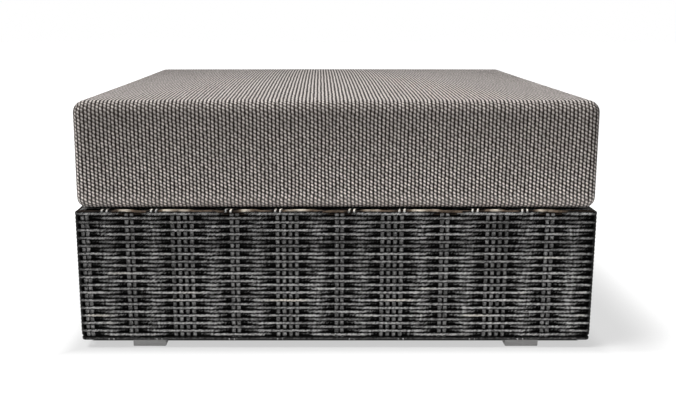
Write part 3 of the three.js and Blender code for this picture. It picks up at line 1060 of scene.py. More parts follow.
@dataclass
class WovenBox:
    """The woven box: rows of strand round stakes in groups of four and two, and its deck.

    Depths are measured inwards from the box's face, and heights from the floor. A wrap or a hem
    is a list of depths and heights.
    """

    corner_radius: float = 0.0032
    sample: float = 0.0062

    # Rows of the sides
    row_count: int = 33
    lowest_row: float = 0.0161
    row_pitch: float = 0.0062375
    row_height: float = 0.0068
    row_uneven: Span = (0.98, 1.03)
    row_thickness: float = 0.0027
    row_waves: Waves = ((9, 0.00011), (23, 0.00011 / 2), (41, 0.00011 / 3), (67, 0.00011 / 4))
    row_tone: Span = (0.48, 1.28)
    tone_waves: Waves = ((5, 0.16), (17, 0.16), (37, 0.12))
    # Painted shade on the rows: darker where they dive behind a group and at the corners, and the upper ones
    # darker under the cushion.
    hidden_tone: float = 0.01
    weave_offset: float = 0.0024
    spread_behind: float = 0.78
    narrow_in_front: float = 0.12
    dive: float = 0.0320
    dive_shade_power: float = 0.38
    dive_crest_shade: float = 0.265
    top_rows: int = 2
    top_row_rise: float = 0.0008
    shade_from_row: int = 16
    shade_rows: int = 14
    upper_shade: float = 0.38
    corner_reach: float = 0.0075
    corner_out: float = 0.0004
    corner_behind: float = 0.0012
    corner_shade: float = 0.80
    corner_shade_reach: float = 0.0036

    # Stakes of the sides
    front_groups: int = 11
    first_group: float = -0.0045
    front_pitch: float = 0.08075
    groups_between: int = 9
    stake_spacing: float = 0.0099
    pair_spacing: float = 0.0084
    first_spacing: float = 0.0070
    stake_depth: float = 0.0031
    stake_width: float = 0.0068
    stake_uneven: Span = (0.93, 1.05)
    stake_thickness: float = 0.0023
    stake_bulge: float = 0.0005
    stake_top: float = 0.2166
    stake_hem: Outline = (
        (0.0330, 0.0150), (0.0240, 0.0150), (0.0150, 0.0151),
        (0.0105, 0.0154), (0.0073, 0.0163), (0.0055, 0.0180),
    )
    stake_foot: float = 0.0203
    stake_above_hem: Span = (0.018, 0.024)
    stake_swells: Span = (0.015, 0.021)
    stake_hem_thickness: float = 0.0013
    # Painted shade on the stakes: darker where they sink between the rows, where they turn under the box, at
    # their tops and near the corners.
    stake_hem_tone: float = 0.35
    stake_tone: float = 0.46
    stake_tone_swing: float = 0.34
    stake_most_tone: float = 0.62
    stake_end_tone: float = 0.2
    stake_tones: Span = (0.79, 1.24)
    stake_flank_shade: float = 0.28
    corner_stake_out: float = 0.0021
    corner_stake_stout: float = 1.25
    corner_stake_tone: float = 0.05
    # A near-black strand inside each corner: painted shade.
    shade_strand_depth: float = 0.0078
    shade_strand_middle: float = 0.1
    shade_strand_look: Look = (0.0094, 0.0028, 0.02)

    # The bottom edge
    hem_sample: float = 0.011
    hem_out: float = 0.0022
    hem_height: float = 0.0155
    # The hem strand's low tone is painted shade under the box's edge.
    hem_look: Look = (0.0050, 0.0026, 0.20)
    hem_depths: tuple[float, ...] = (0.0105, 0.0165, 0.0225, 0.0285)
    hem_radius: float = 0.004
    hem_row_sample: float = 0.009
    hem_row_height: float = 0.0150
    hem_row_offset: float = 0.00132
    hem_row_size: Pair = (0.0048, 0.00122)
    hem_row_tones: Pair = (0.5, 0.6)
    loop_hem: Outline = (
        (0.0125, 0.0137), (0.0050, 0.0136), (0.0006, 0.0139), (-0.0008, 0.0150), (-0.0006, 0.0164),
    )
    # Painted shade: each loop darker where it runs in under the box, lightest where it turns out at the
    # front.
    loop_tones: tuple[float, ...] = (0.5, 0.6, 0.9, 1.0, 0.7)
    loop_size: Pair = (0.0034, 0.0011)
    loop_flank_shade: float = 0.5

    # Rows of the deck
    deck_depth: float = 0.0046
    deck_offset: float = 0.0029
    deck_pitch: float = 0.00624
    deck_inset: float = 0.0093
    deck_knot: float = 0.0035
    deck_samples: int = 58
    deck_bend: float = 0.016
    deck_strand: float = 0.0060
    deck_spread: float = 0.0024
    deck_thickness: float = 0.0031
    deck_wrap: Outline = (
        (0.0110, 0.2190), (0.0062, 0.2200), (0.0028, 0.2198), (0.0012, 0.2186), (0.0010, 0.2172),
    )
    deck_wrap_depth: float = 0.0115
    deck_wrap_thickness: float = 0.0014
    deck_drift: float = 0.0002
    deck_drift_rate: float = 37.0
    deck_drift_start: Span = (0.0, 6.28)
    deck_lit: Span = (-0.0078, -0.0018)
    deck_tone: Pair = (0.30, 0.62)
    deck_tones: Span = (0.75, 1.05)

    # Pairs of strands across the deck
    deck_pair_places: tuple[float, ...] = (
        0.0455, 0.1210, 0.2350, 0.3110, 0.4240, 0.5010, 0.6130, 0.6890,
    )
    deck_pair_spacing: float = 0.0078
    pair_shift: float = 0.0016
    pair_lean: float = 0.0042
    pair_samples: int = 48
    pair_bend: float = 0.026
    pair_level_depth: float = 0.0185
    pair_wrap: Outline = (
        (0.0142, 0.2190), (0.0112, 0.2209), (0.0076, 0.2222), (0.0036, 0.2228),
        (0.0012, 0.2218), (0.0005, 0.2200), (0.0004, 0.2183),
    )
    pair_outer: float = 0.0150
    pair_lit: Span = (0.2186, 0.2208)
    pair_lit_share: float = 0.05
    pair_widths: Pair = (0.0036, 0.0044)
    pair_thicknesses: Pair = (0.0016, 0.0026)
    pair_tone: Pair = (0.35, 1.35)
    pair_tones: Span = (0.72, 1.12)
    pair_flank_shade: float = 0.35

    # The two strands of the border, whose crests show in the gaps between the pairs. A wide gap
    # has the first of two values, and a narrow one the second.
    border_radius: float = 0.0045
    border_sample: float = 0.004
    border_depths: Pair = (0.0034, 0.0088)
    border_heights: Pair = (0.2208, 0.2196)
    border_width: float = 0.0049
    border_thicknesses: Pair = (0.0037, 0.0026)
    border_tilt: Pair = (0.80, 0.60)
    border_flank_shade: float = 0.35
    border_facing: float = 0.9
    end_gap: float = 0.077
    wide_gap: float = 0.095
    crest_starts: Pair = (0.010, 0.017)
    crest_ends: Pair = (0.056, 0.043)
    crest_shifts: Pair = (0.003, 0.002)
    crest_rise: Span = (-0.006, 0.004)
    crest_fall: Span = (-0.008, 0.004)
    crest_drop: float = 0.0014
    crest_waves: Pair = (90.0, 0.00018)
    # Painted light on the border: its dark tone is painted shade under the cushion; on the front and back it
    # is painted lighter between the pairs, with a painted highlight on each crest.
    painted_lit_rise: float = 0.006
    painted_lit_fall: Span = (0.006, 0.018)
    painted_lit_tone: float = 0.60
    lit_least: float = 0.70
    lit_share: float = 0.7
    lit_tones: Pair = (0.98, 0.68)
    border_tone: float = 0.08
    border_tone_waves: Pair = (210.0, 0.15)
    under_depth: float = 0.0042
    under_radius: float = 0.005
    under_sample: float = 0.010
    under_height: float = 0.2151
    under_look: Look = (0.0030, 0.0024, 0.22)

    def __post_init__(self) -> None:
        """Takes the box's outer size from the frame and sets out the groups of stakes."""
        self.half = max(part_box(side)[1].x for side in WOVEN_SIDES)
        self.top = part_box("woven_deck")[1].z
        self.way = Perimeter(self.half - self.stake_depth, self.corner_radius)
        self.corners = [self.way.side * (i + 1) - self.way.radius * math.pi / 4 for i in range(4)]
        inner = self.stake_spacing / 2
        ends = [self.corners[3] - self.way.length + self.first_spacing / 2, self.corners[0] + 3 * inner,
                self.corners[1] - inner, self.corners[2] - inner, self.corners[3] - inner]
        self.groups = ends[:1]
        self.groups += [self.first_group + self.front_pitch * i for i in range(1, self.front_groups - 1)]
        for start, end in zip(ends[1:], ends[2:]):
            self.groups += list(np.linspace(start, end, self.groups_between + 2)[:-1])
        self.random = np.random.default_rng(SEED)

    def group_offsets(self, number: int) -> list[float]:
        """Where the stakes of a group stand beside its centre: four, or two in every other one.

        Args:
            number: the group's number.

        Returns:
            The offset of each stake, from the lowest.
        """
        if number % 2 == 1:
            return [-self.pair_spacing / 2, self.pair_spacing / 2]
        half = (self.first_spacing if number == 0 else self.stake_spacing) / 2
        return [-3 * half, -half, half, 3 * half]

    def round_way(self, s: np.ndarray, place: float) -> np.ndarray:
        """How far lengths round the box lie from a place, the shorter way round."""
        half = self.way.length / 2
        return np.abs(np.mod(s - place + half, self.way.length) - half)

    def depth_behind(self, s: np.ndarray, behind_even: bool) -> np.ndarray:
        """How far out a row lies from 0, deep behind a group, to 1, in front of the stakes.

        Args:
            s: lengths round the box.
            behind_even: whether the row passes behind the even groups or the odd ones.

        Returns:
            One share for each length.
        """
        least = np.full(len(s), np.inf)
        for number in range(0 if behind_even else 1, len(self.groups), 2):
            half_width = self.group_offsets(number)[-1] + self.stake_width / 2
            least = np.minimum(least, self.round_way(s, self.groups[number]) - half_width)
        return smoothstep(least / self.dive)

    def corner_share(self, s: np.ndarray, reach: float) -> np.ndarray:
        """1 at a corner of the box, falling to 0 beyond a reach."""
        away = np.min([self.round_way(s, corner) for corner in self.corners], axis=0)
        return np.exp(-((away / reach) ** 2))

    def row(self, number: int) -> Strand:
        """One row of strand round the box, counted from the bottom.

        Args:
            number: the row's number, from the bottom.

        Returns:
            The row.
        """
        s = self.way.samples(self.sample)
        share = self.depth_behind(s, behind_even=number % 2 == 1)
        beside = self.depth_behind(s, behind_even=number % 2 == 0)
        tight = self.corner_share(s, self.corner_reach)
        behind = -self.weave_offset + tight * self.corner_behind
        offset = behind + (self.weave_offset - behind) * share + tight * self.corner_out
        plan, _ = self.way.at(s, offset)
        turns = 2 * math.pi * s / self.way.length
        phase = self.random.uniform(0, 2 * math.pi, len(self.row_waves))
        high_up = max(0.0, number - self.row_count + 1 + self.top_rows) / self.top_rows
        z = self.lowest_row + self.row_pitch * number + sum_waves(turns, phase, self.row_waves)
        z = z + self.top_row_rise * high_up ** 2
        # Painted shade: each row darker, and its lit crest narrower, where it dives behind a group; the upper
        # rows darker under the cushion; darker at the corners.
        shaded = 1 - self.upper_shade * smoothstep(np.array((number - self.shade_from_row) / self.shade_rows))
        painted_light = self.hidden_tone + (1 - self.hidden_tone) * share ** self.dive_shade_power
        tone = self.random.uniform(*self.row_tone) * painted_light * shaded
        tone = tone * (1 - self.corner_shade * self.corner_share(s, self.corner_shade_reach))
        tone = tone * (1 + sum_waves(turns, phase, self.tone_waves))
        spread = 1 + self.spread_behind * (1 - share) - self.narrow_in_front * (1 - beside)
        height = self.row_height * spread * self.random.uniform(*self.row_uneven)
        return Strand(np.column_stack([plan, z]), UPWARDS, height, self.row_thickness, tone, True,
                      crest_shade=self.dive_crest_shade * (1 - share))

    def rows(self, first: int, name: str) -> Object:
        """Every other row round the box, from one of the two lowest woven ones."""
        strands = [self.row(number) for number in range(first, self.row_count, 2)]
        return StrandBundle(name, strands=strands).build()

    def stake(self, s: float, in_even_group: bool) -> Strand:
        """One stake: up the side between the rows, and turned under the bottom rail.

        Args:
            s: where it stands round the box.
            in_even_group: whether it stands in a group of four, which even rows pass in front of.

        Returns:
            The stake.
        """
        place, normal = (pair[0] for pair in self.way.at(np.array([s])))
        hem_depths, hem_heights = np.transpose([*self.stake_hem, (self.stake_depth, self.stake_foot)])
        rise = np.arange(self.lowest_row + self.row_pitch, self.stake_top, self.row_pitch / 2)
        swing = np.cos(math.pi * (rise - self.lowest_row) / self.row_pitch) * (-1 if in_even_group else 1)
        up_depths = self.stake_depth - swing * self.stake_bulge
        depth = np.concatenate([hem_depths, up_depths, [self.stake_depth]])
        z = np.concatenate([hem_heights, rise, [self.stake_top]])
        near_corner = bool(self.corner_share(np.array([s]), self.corner_shade_reach)[0] > 0.5)
        if near_corner:
            depth = depth - self.corner_stake_out * smoothstep(ramp(z, self.stake_above_hem))
        plan = place[None, :] - normal[None, :] * (depth - self.stake_depth)[:, None]
        across = np.array([normal[1], -normal[0], 0.0])
        thicker = self.stake_thickness - self.stake_hem_thickness
        thickness = self.stake_hem_thickness + thicker * ramp(z, self.stake_swells)
        # Painted shade: each stake darker where it sinks between the rows, under the box and at its top, and
        # much darker near a corner.
        painted_light = np.minimum(self.stake_tone + self.stake_tone_swing * swing, self.stake_most_tone)
        tone = np.concatenate([np.full(len(hem_depths), self.stake_hem_tone), painted_light, [self.stake_end_tone]])
        stout, dark = (self.corner_stake_stout, self.corner_stake_tone) if near_corner else (1.0, 1.0)
        tone = tone * dark * self.random.uniform(*self.stake_tones)
        width = self.stake_width * stout * self.random.uniform(*self.stake_uneven)
        line = np.column_stack([plan, z])
        return Strand(line, across, width, thickness * stout, tone, fade=self.stake_flank_shade)

    def stakes(self) -> Object:
        """Every stake of the four sides, and a near-black strand of painted shade inside each corner.

        Returns:
            The piece.
        """
        bundle = StrandBundle("woven_stakes", sides=6)
        for number, centre in enumerate(self.groups):
            for offset in self.group_offsets(number):
                bundle.strands.append(self.stake(centre + offset, number % 2 == 0))
        bundle.strands += [self.corner_shade_strand(x, y) for x in (-1, 1) for y in (-1, 1)]
        return bundle.build()

    def corner_shade_strand(self, x: int, y: int) -> Strand:
        """A near-black upright strand of painted shade inside a corner, between the rows and the post.

        Args:
            x: -1 for the left corners and 1 for the right ones.
            y: -1 for the front corners and 1 for the back ones.

        Returns:
            The strand.
        """
        place = self.half - self.shade_strand_depth
        heights = (self.lowest_row, self.shade_strand_middle, self.stake_top)
        line = np.array([[x * place, y * place, z] for z in heights])
        return Strand(line, np.array([-x * y, 1.0, 0.0]) / math.sqrt(2), *self.shade_strand_look)

    def hem(self) -> Object:
        """The bottom edge: a border strand round the stakes, and woven rows under the rails.

        Returns:
            The piece.
        """
        bundle = StrandBundle("woven_hem", sides=6)
        plan, _ = self.way.at(self.way.samples(self.hem_sample), self.hem_out)
        bundle.strands.append(Strand(add_height(plan, self.hem_height), UPWARDS, *self.hem_look, True))
        for index, depth in enumerate(self.hem_depths):
            path = Perimeter(self.half - depth, self.hem_radius)
            plan, normal = path.at(path.samples(self.hem_row_sample, corner_steps=4))
            share = self.hem_share(plan, index % 2 == 0)
            line = add_height(plan, self.hem_row_height + (2 * share - 1) * self.hem_row_offset)
            tone = self.hem_row_tones[index % 2]
            bundle.strands.append(Strand(line, add_height(normal, 0.0), *self.hem_row_size, tone, True))
        bundle.strands += [self.edge_loop(x, sign) for x in self.pair_places() for sign in (-1, 1)]
        return bundle.build()

    def hem_share(self, plan: np.ndarray, behind_even: bool) -> np.ndarray:
        """Where a hem row passes over a group of turned-in stakes, from 0 to 1.

        Args:
            plan: points of the row, in plan.
            behind_even: whether it passes behind the even groups.

        Returns:
            One share for each point.
        """
        half, side = self.way.half, self.way.side
        inner = half - self.way.radius
        x, y = (plan * (half / np.max(np.abs(plan), axis=1))[:, None]).T
        reached = half - SAME
        s = np.select(
            [y <= -reached, x >= reached, y >= reached],
            [x + inner, side + y + inner, 2 * side - x + inner],
            3 * side - y + inner,
        )
        return self.depth_behind(s, behind_even)

    def pair_places(self) -> list[float]:
        """The x of every strand of the deck's pairs.

        Returns:
            The places, from the left.
        """
        left = -self.half + self.pair_shift
        half = self.deck_pair_spacing / 2
        return [left + place + side for place in self.deck_pair_places for side in (-half, half)]

    def edge_loop(self, x: float, sign: int) -> Strand:
        """The end of a deck strand at the bottom edge of the front or the back.

        Args:
            x: where the strand lies.
            sign: -1 for the front and 1 for the back.

        Returns:
            The loop.
        """
        line = np.array([[x, sign * (self.half - depth), z] for depth, z in self.loop_hem])
        across = np.array([float(sign), 0.0, 0.0])
        return Strand(line, across, *self.loop_size, np.array(self.loop_tones), fade=self.loop_flank_shade)

    def over_edges(self, middle: np.ndarray, wrap: Outline) -> np.ndarray:
        """A line of places and heights across the deck, with both ends bent down over the edge."""
        end = np.array([(self.half - depth, z) for depth, z in wrap])
        return np.vstack([end[::-1] * (-1, 1), middle, end])

    def deck_row(self, number: int, y: float, last: bool) -> Strand:
        """One row of the deck, from side to side, over and under its pairs of strands.

        Args:
            number: its number from the front.
            y: where it lies.
            last: whether it is the first or the last one, which pass under every pair.

        Returns:
            The row.
        """
        knot = self.deck_pair_spacing / 2 + self.deck_knot
        xs: list[float] = []
        levels: list[float] = []
        for index, place in enumerate(self.deck_pair_places):
            over = (index + number) % 2 == 0 and not last
            xs += [-self.half + place + side for side in (-knot, 0.0, knot)]
            levels += [self.deck_offset if over else -self.deck_offset] * 3
        reach = self.half - self.deck_bend
        fine = np.unique(np.concatenate([xs, np.linspace(-reach, reach, self.deck_samples)]))
        height = np.interp(fine, xs, levels)
        gap = 0.5 * (height[1:] + height[:-1])
        height[1:-1] = 0.5 * height[1:-1] + 0.25 * (gap[1:] + gap[:-1])
        spread = 0.0 if last else self.deck_spread
        width = self.deck_strand + spread * np.abs(height) / self.deck_offset
        width = np.pad(width, len(self.deck_wrap), constant_values=self.deck_strand)
        x, z = self.over_edges(np.column_stack([fine, self.top - self.deck_depth + height]), self.deck_wrap).T
        start = self.random.uniform(*self.deck_drift_start)
        drift = self.deck_drift * np.sin(x * self.deck_drift_rate + start)
        least, more = self.deck_tone
        tone = (least + more * ramp(z - self.top, self.deck_lit)) * self.random.uniform(*self.deck_tones)
        in_wrap = np.abs(x) > self.half - self.deck_wrap_depth
        thick = np.where(in_wrap, self.deck_wrap_thickness, self.deck_thickness)
        return Strand(np.column_stack([x, y + drift, z]), np.array([0.0, 1.0, 0.0]), width, thick, tone)

    def deck_rows(self) -> Object:
        """Every row of the deck, at an even pitch.

        Returns:
            The piece.
        """
        bundle = StrandBundle("woven_deck_rows", sides=6)
        reach = self.half - self.deck_inset
        count = int(2 * reach / self.deck_pitch) + 1
        for number, y in enumerate(np.linspace(-reach, reach, count)):
            bundle.strands.append(self.deck_row(number, y, number in (0, count - 1)))
        return bundle.build()

    def deck_stakes(self) -> Object:
        """The deck's pairs of strands, whose ends go over the border at the front and the back.

        Returns:
            The piece.
        """
        bundle = StrandBundle("woven_deck_stakes", sides=8)
        level = self.top - self.deck_depth
        reach = self.half - self.pair_bend
        inside = add_height(np.linspace(-reach, reach, self.pair_samples)[:, None], level)
        y, z = self.over_edges(inside, ((self.pair_level_depth, level), *self.pair_wrap)).T
        outer = ramp(np.abs(y) - self.half, (-self.pair_outer, 0.0))
        width, thick = (np.where(outer > 0, *pair) for pair in (self.pair_widths, self.pair_thicknesses))
        lean = self.pair_lean * (outer - 0.5) * (outer > 0)
        least, more = self.pair_tone
        painted_light = least + more * (outer > self.pair_lit_share) * ramp(z, self.pair_lit)
        for x in self.pair_places():
            line = np.column_stack([x - lean, y, z])
            tone = painted_light * self.random.uniform(*self.pair_tones)
            across = np.array([-1.0, 0.0, 0.0])
            bundle.strands.append(Strand(line, across, width, thick, tone, fade=self.pair_flank_shade))
        return bundle.build()

    def border_strand(self, index: int) -> Strand:
        """The outer or the inner strand round the top edge, by its number.

        Args:
            index: 0 for the outer one and 1 for the inner one.

        Returns:
            The strand.
        """
        path = Perimeter(self.half - self.border_depths[index], self.border_radius)
        plan, normal = path.at(path.samples(self.border_sample))
        x = plan[:, 0]
        facing = np.abs(normal[:, 1]) > self.border_facing
        pairs = -self.half + np.array(self.deck_pair_places)
        following = np.searchsorted(pairs, x)
        before, after = (pairs[np.clip(i, 0, len(pairs) - 1)] for i in (following - 1, following))
        span = np.where(after > before, after - before, self.end_gap)
        past = x - before
        wide = span > self.wide_gap
        start = np.where(wide, *self.crest_starts) + self.crest_shifts[0] * index
        end = np.where(wide, *self.crest_ends) - self.crest_shifts[1] * index
        rise = smoothstep(ramp(past - start, self.crest_rise)) * smoothstep(ramp(end - past, self.crest_fall))
        rise = np.where(facing & (past > 0), rise, 0.0)
        rate, swing = self.crest_waves
        height = self.border_heights[index] - self.crest_drop * (1 - rise) + swing * np.sin(x * rate + index)
        # Painted light: lighter between the pairs on the front and back, darker under the pairs, and a
        # painted highlight on each crest.
        painted_lit = smoothstep((past - start) / self.painted_lit_rise) * smoothstep(ramp(span - past, self.painted_lit_fall))
        lit = rise * (self.lit_least + (1 - self.lit_least) * smoothstep(
            (end - past) / (self.lit_share * (end - start))))
        tone = self.border_tone + self.painted_lit_tone * painted_lit * facing + self.lit_tones[index] * lit
        rate, swing = self.border_tone_waves
        tone = tone * (1 + swing * np.sin(x * rate + 2 * index))
        outward, upward = self.border_tilt
        across = add_height(-normal * outward, upward)
        return Strand(add_height(plan, height), across, self.border_width, self.border_thicknesses[index],
                      tone, True, self.border_flank_shade)

    def border(self) -> Object:
        """The two strands round the top edge, and a plain one under them.

        Returns:
            The piece.
        """
        bundle = StrandBundle("woven_border", strands=[self.border_strand(index) for index in (0, 1)])
        inner = Perimeter(self.half - self.under_depth, self.under_radius)
        plan, _ = inner.at(inner.samples(self.under_sample))
        bundle.strands.append(Strand(add_height(plan, self.under_height), UPWARDS, *self.under_look, True))
        return bundle.build()

    def build(self, finishes: dict[Finish, Material]) -> None:
        """Makes the whole box and dresses it.

        Args:
            finishes: every material, under its finish.
        """
        pieces = [
            (self.rows(2, "woven_rows_a"), WOVEN_SIDES),
            (self.rows(1, "woven_rows_b"), ()),
            (self.stakes(), ()),
            (self.hem(), ()),
            (self.deck_rows(), ("woven_deck",)),
            (self.deck_stakes(), ()),
            (self.border(), ()),
        ]
        for piece, nodes in pieces:
            finish = Finish.BORDER if piece.name == "woven_border" else Finish.RESIN
            dress(piece, finishes[finish], "base", Finish.RESIN.value, *nodes)
            log.info("%s: %d faces", piece.name, len(piece.data.polygons))


# Frame and feet


@dataclass
class Frame:
    """The tube frame, whose own meshes stay and get their coating."""

    def build(self, finishes: dict[Finish, Material]) -> None:
        """Coats every rail, post, upright and crossbar.

        Args:
            finishes: every material, under its finish.
        """
        count = 0
        for name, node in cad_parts.items():
            if name.startswith(("rail_", "post_", "upright_", "crossbar_")):
                for holder in node.material_slots:
                    holder.material = finishes[Finish.TUBE]
                count += 1
        log.info("frame: %d tubes coated", count)


@dataclass
class Feet:
    """Four feet, each a grey block with a pad in its underside and two screws above it."""

    edge: float = 0.0008
    low_corner: float = 0.0022
    recess_gap: float = 0.0004
    recess_depth: float = 0.0025
    pad_edge: float = 0.0002
    pad_corner: float = 0.0050
    pad_grooves: Outline = ((0.0028, 0.0), (0.0005, -0.0005), (0.0012, 0.0), (0.0005, 0.0005))
    corner_segments: int = 6
    screw_head: float = 0.0024
    screw_seat: float = 0.0004
    head_sides: int = 32
    head_steps: Outline = ((0.00035, 0.0), (0.0005, 0.0002), (0.0008, 0.0002), (0.0006, -0.0009))
    shank_radius: float = 0.0019
    shank_sides: int = 20
    shank_short: float = 0.0016
    point_length: float = 0.0014
    point_share: float = 0.25
    thread_radius: float = 0.00178
    thread_start: float = 0.0022
    thread_pitch: float = 0.00105
    thread_turns: int = 11
    thread_steps: int = 12
    thread_look: Look = (0.00062, 0.00040, 1.0)

    def block(self) -> Object:
        """The front left block: rounded low corners, fine edges and a recess for its pad.

        Returns:
            The block.
        """
        low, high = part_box("foot_front_left")
        pad_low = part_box("foot_pad_front_left")[0]
        foot = start_box("foot_front_left_block", low, high)
        edit(
            foot, Part.EDGES,
            lambda a, b: edges_along(1)(a, b) and abs(a.z - low.z) < MM,
            lambda: bevel(self.low_corner, self.corner_segments),
        )
        round_edges(foot, self.edge)

        def sink() -> None:
            """Insets the underside to the pad's outline and pushes it up."""
            bpy.ops.mesh.inset(thickness=(pad_low.x - low.x) - self.low_corner - self.recess_gap, depth=0)
            bpy.ops.mesh.extrude_region_move(
                TRANSFORM_OT_translate={"value": (0.0, 0.0, self.recess_depth)})

        edit(foot, Part.FACES, lambda centre, normal: normal.z < -FACING and centre.z < low.z + MM / 2, sink)
        return soften(foot, 35)

    def pad(self) -> Object:
        """The front left pad: round corners, a soft edge and a grooved underside.

        Returns:
            The pad.
        """
        low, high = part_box("foot_pad_front_left")
        pad = start_box("foot_pad_front_left_glide", low, high)
        edit(pad, Part.EDGES, edges_along(2), lambda: bevel(self.pad_corner, self.corner_segments))
        edit(pad, Part.FACES, faces_along(2, -1), lambda: inset_steps(*self.pad_grooves))
        round_edges(pad, self.pad_edge, segments=2)
        return soften(pad, 35)

    def screw(self) -> Object:
        """The first screw: a domed head with a sunk middle, a shank and a thread.

        Returns:
            The screw.
        """
        low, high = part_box("foot_screw_front_left_a")
        centre = (low + high) / 2
        up = Vector(UPWARDS)
        head = start_rod("foot_screw_head", Vector((centre.x, centre.y, low.z)), up,
                         (high.x - low.x) / 2, self.screw_head, self.head_sides)
        edit(head, Part.FACES, faces_along(2, -1), lambda: inset_steps(*self.head_steps))
        head.data.transform(Matrix.Translation((0, 0, self.screw_seat)))
        shank_low = low.z + self.screw_head
        shank = start_rod("foot_screw_shank", Vector((centre.x, centre.y, shank_low)), up,
                          self.shank_radius, high.z - shank_low - self.shank_short, self.shank_sides)

        def point() -> None:
            """Draws the far end out to a point."""
            bpy.ops.mesh.extrude_region_move(TRANSFORM_OT_translate={"value": (0.0, 0.0, self.point_length)})
            bpy.ops.transform.resize(value=(self.point_share, self.point_share, 1.0))

        edit(shank, Part.FACES, faces_along(2, 1), point)
        angle = np.linspace(0, 2 * math.pi * self.thread_turns, self.thread_turns * self.thread_steps)
        line = np.column_stack([
            centre.x + self.thread_radius * np.cos(angle),
            centre.y + self.thread_radius * np.sin(angle),
            shank_low + self.thread_start + self.thread_pitch * angle / (2 * math.pi),
        ])
        thread = StrandBundle("foot_screw_thread", 5, strands=[Strand(line, UPWARDS, *self.thread_look)])
        return soften(join_pieces("foot_screw_front_left_a_pan", [head, shank, thread.build()]), 40)

    def build(self, finishes: dict[Finish, Material]) -> None:
        """Models one of each piece, and copies it to the other feet.

        Args:
            finishes: every material, under its finish.
        """
        block, pad, screw = self.block(), self.pad(), self.screw()
        for place in ("front_left", "front_right", "back_left", "back_right"):
            copies = [
                (block, "foot_front_left", f"foot_{place}", Finish.FOOT),
                (pad, "foot_pad_front_left", f"foot_pad_{place}", Finish.PAD),
            ]
            for end in ("a", "b"):
                copies.append((screw, "foot_screw_front_left_a", f"foot_screw_{place}_{end}", Finish.STEEL))
            for source, home, node, finish in copies:
                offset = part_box(node)[0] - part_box(home)[0]
                shift = Matrix.Translation((offset.x, offset.y, 0.0))
                piece = copy_piece(source, f"{node}_modelled", shift)
                dress(piece, finishes[finish], "base", finish.value, node)
        for source in (block, pad, screw):
            bpy.data.objects.remove(source)
        log.info("feet: 4 blocks, 4 pads, 8 screws")


# Cushion


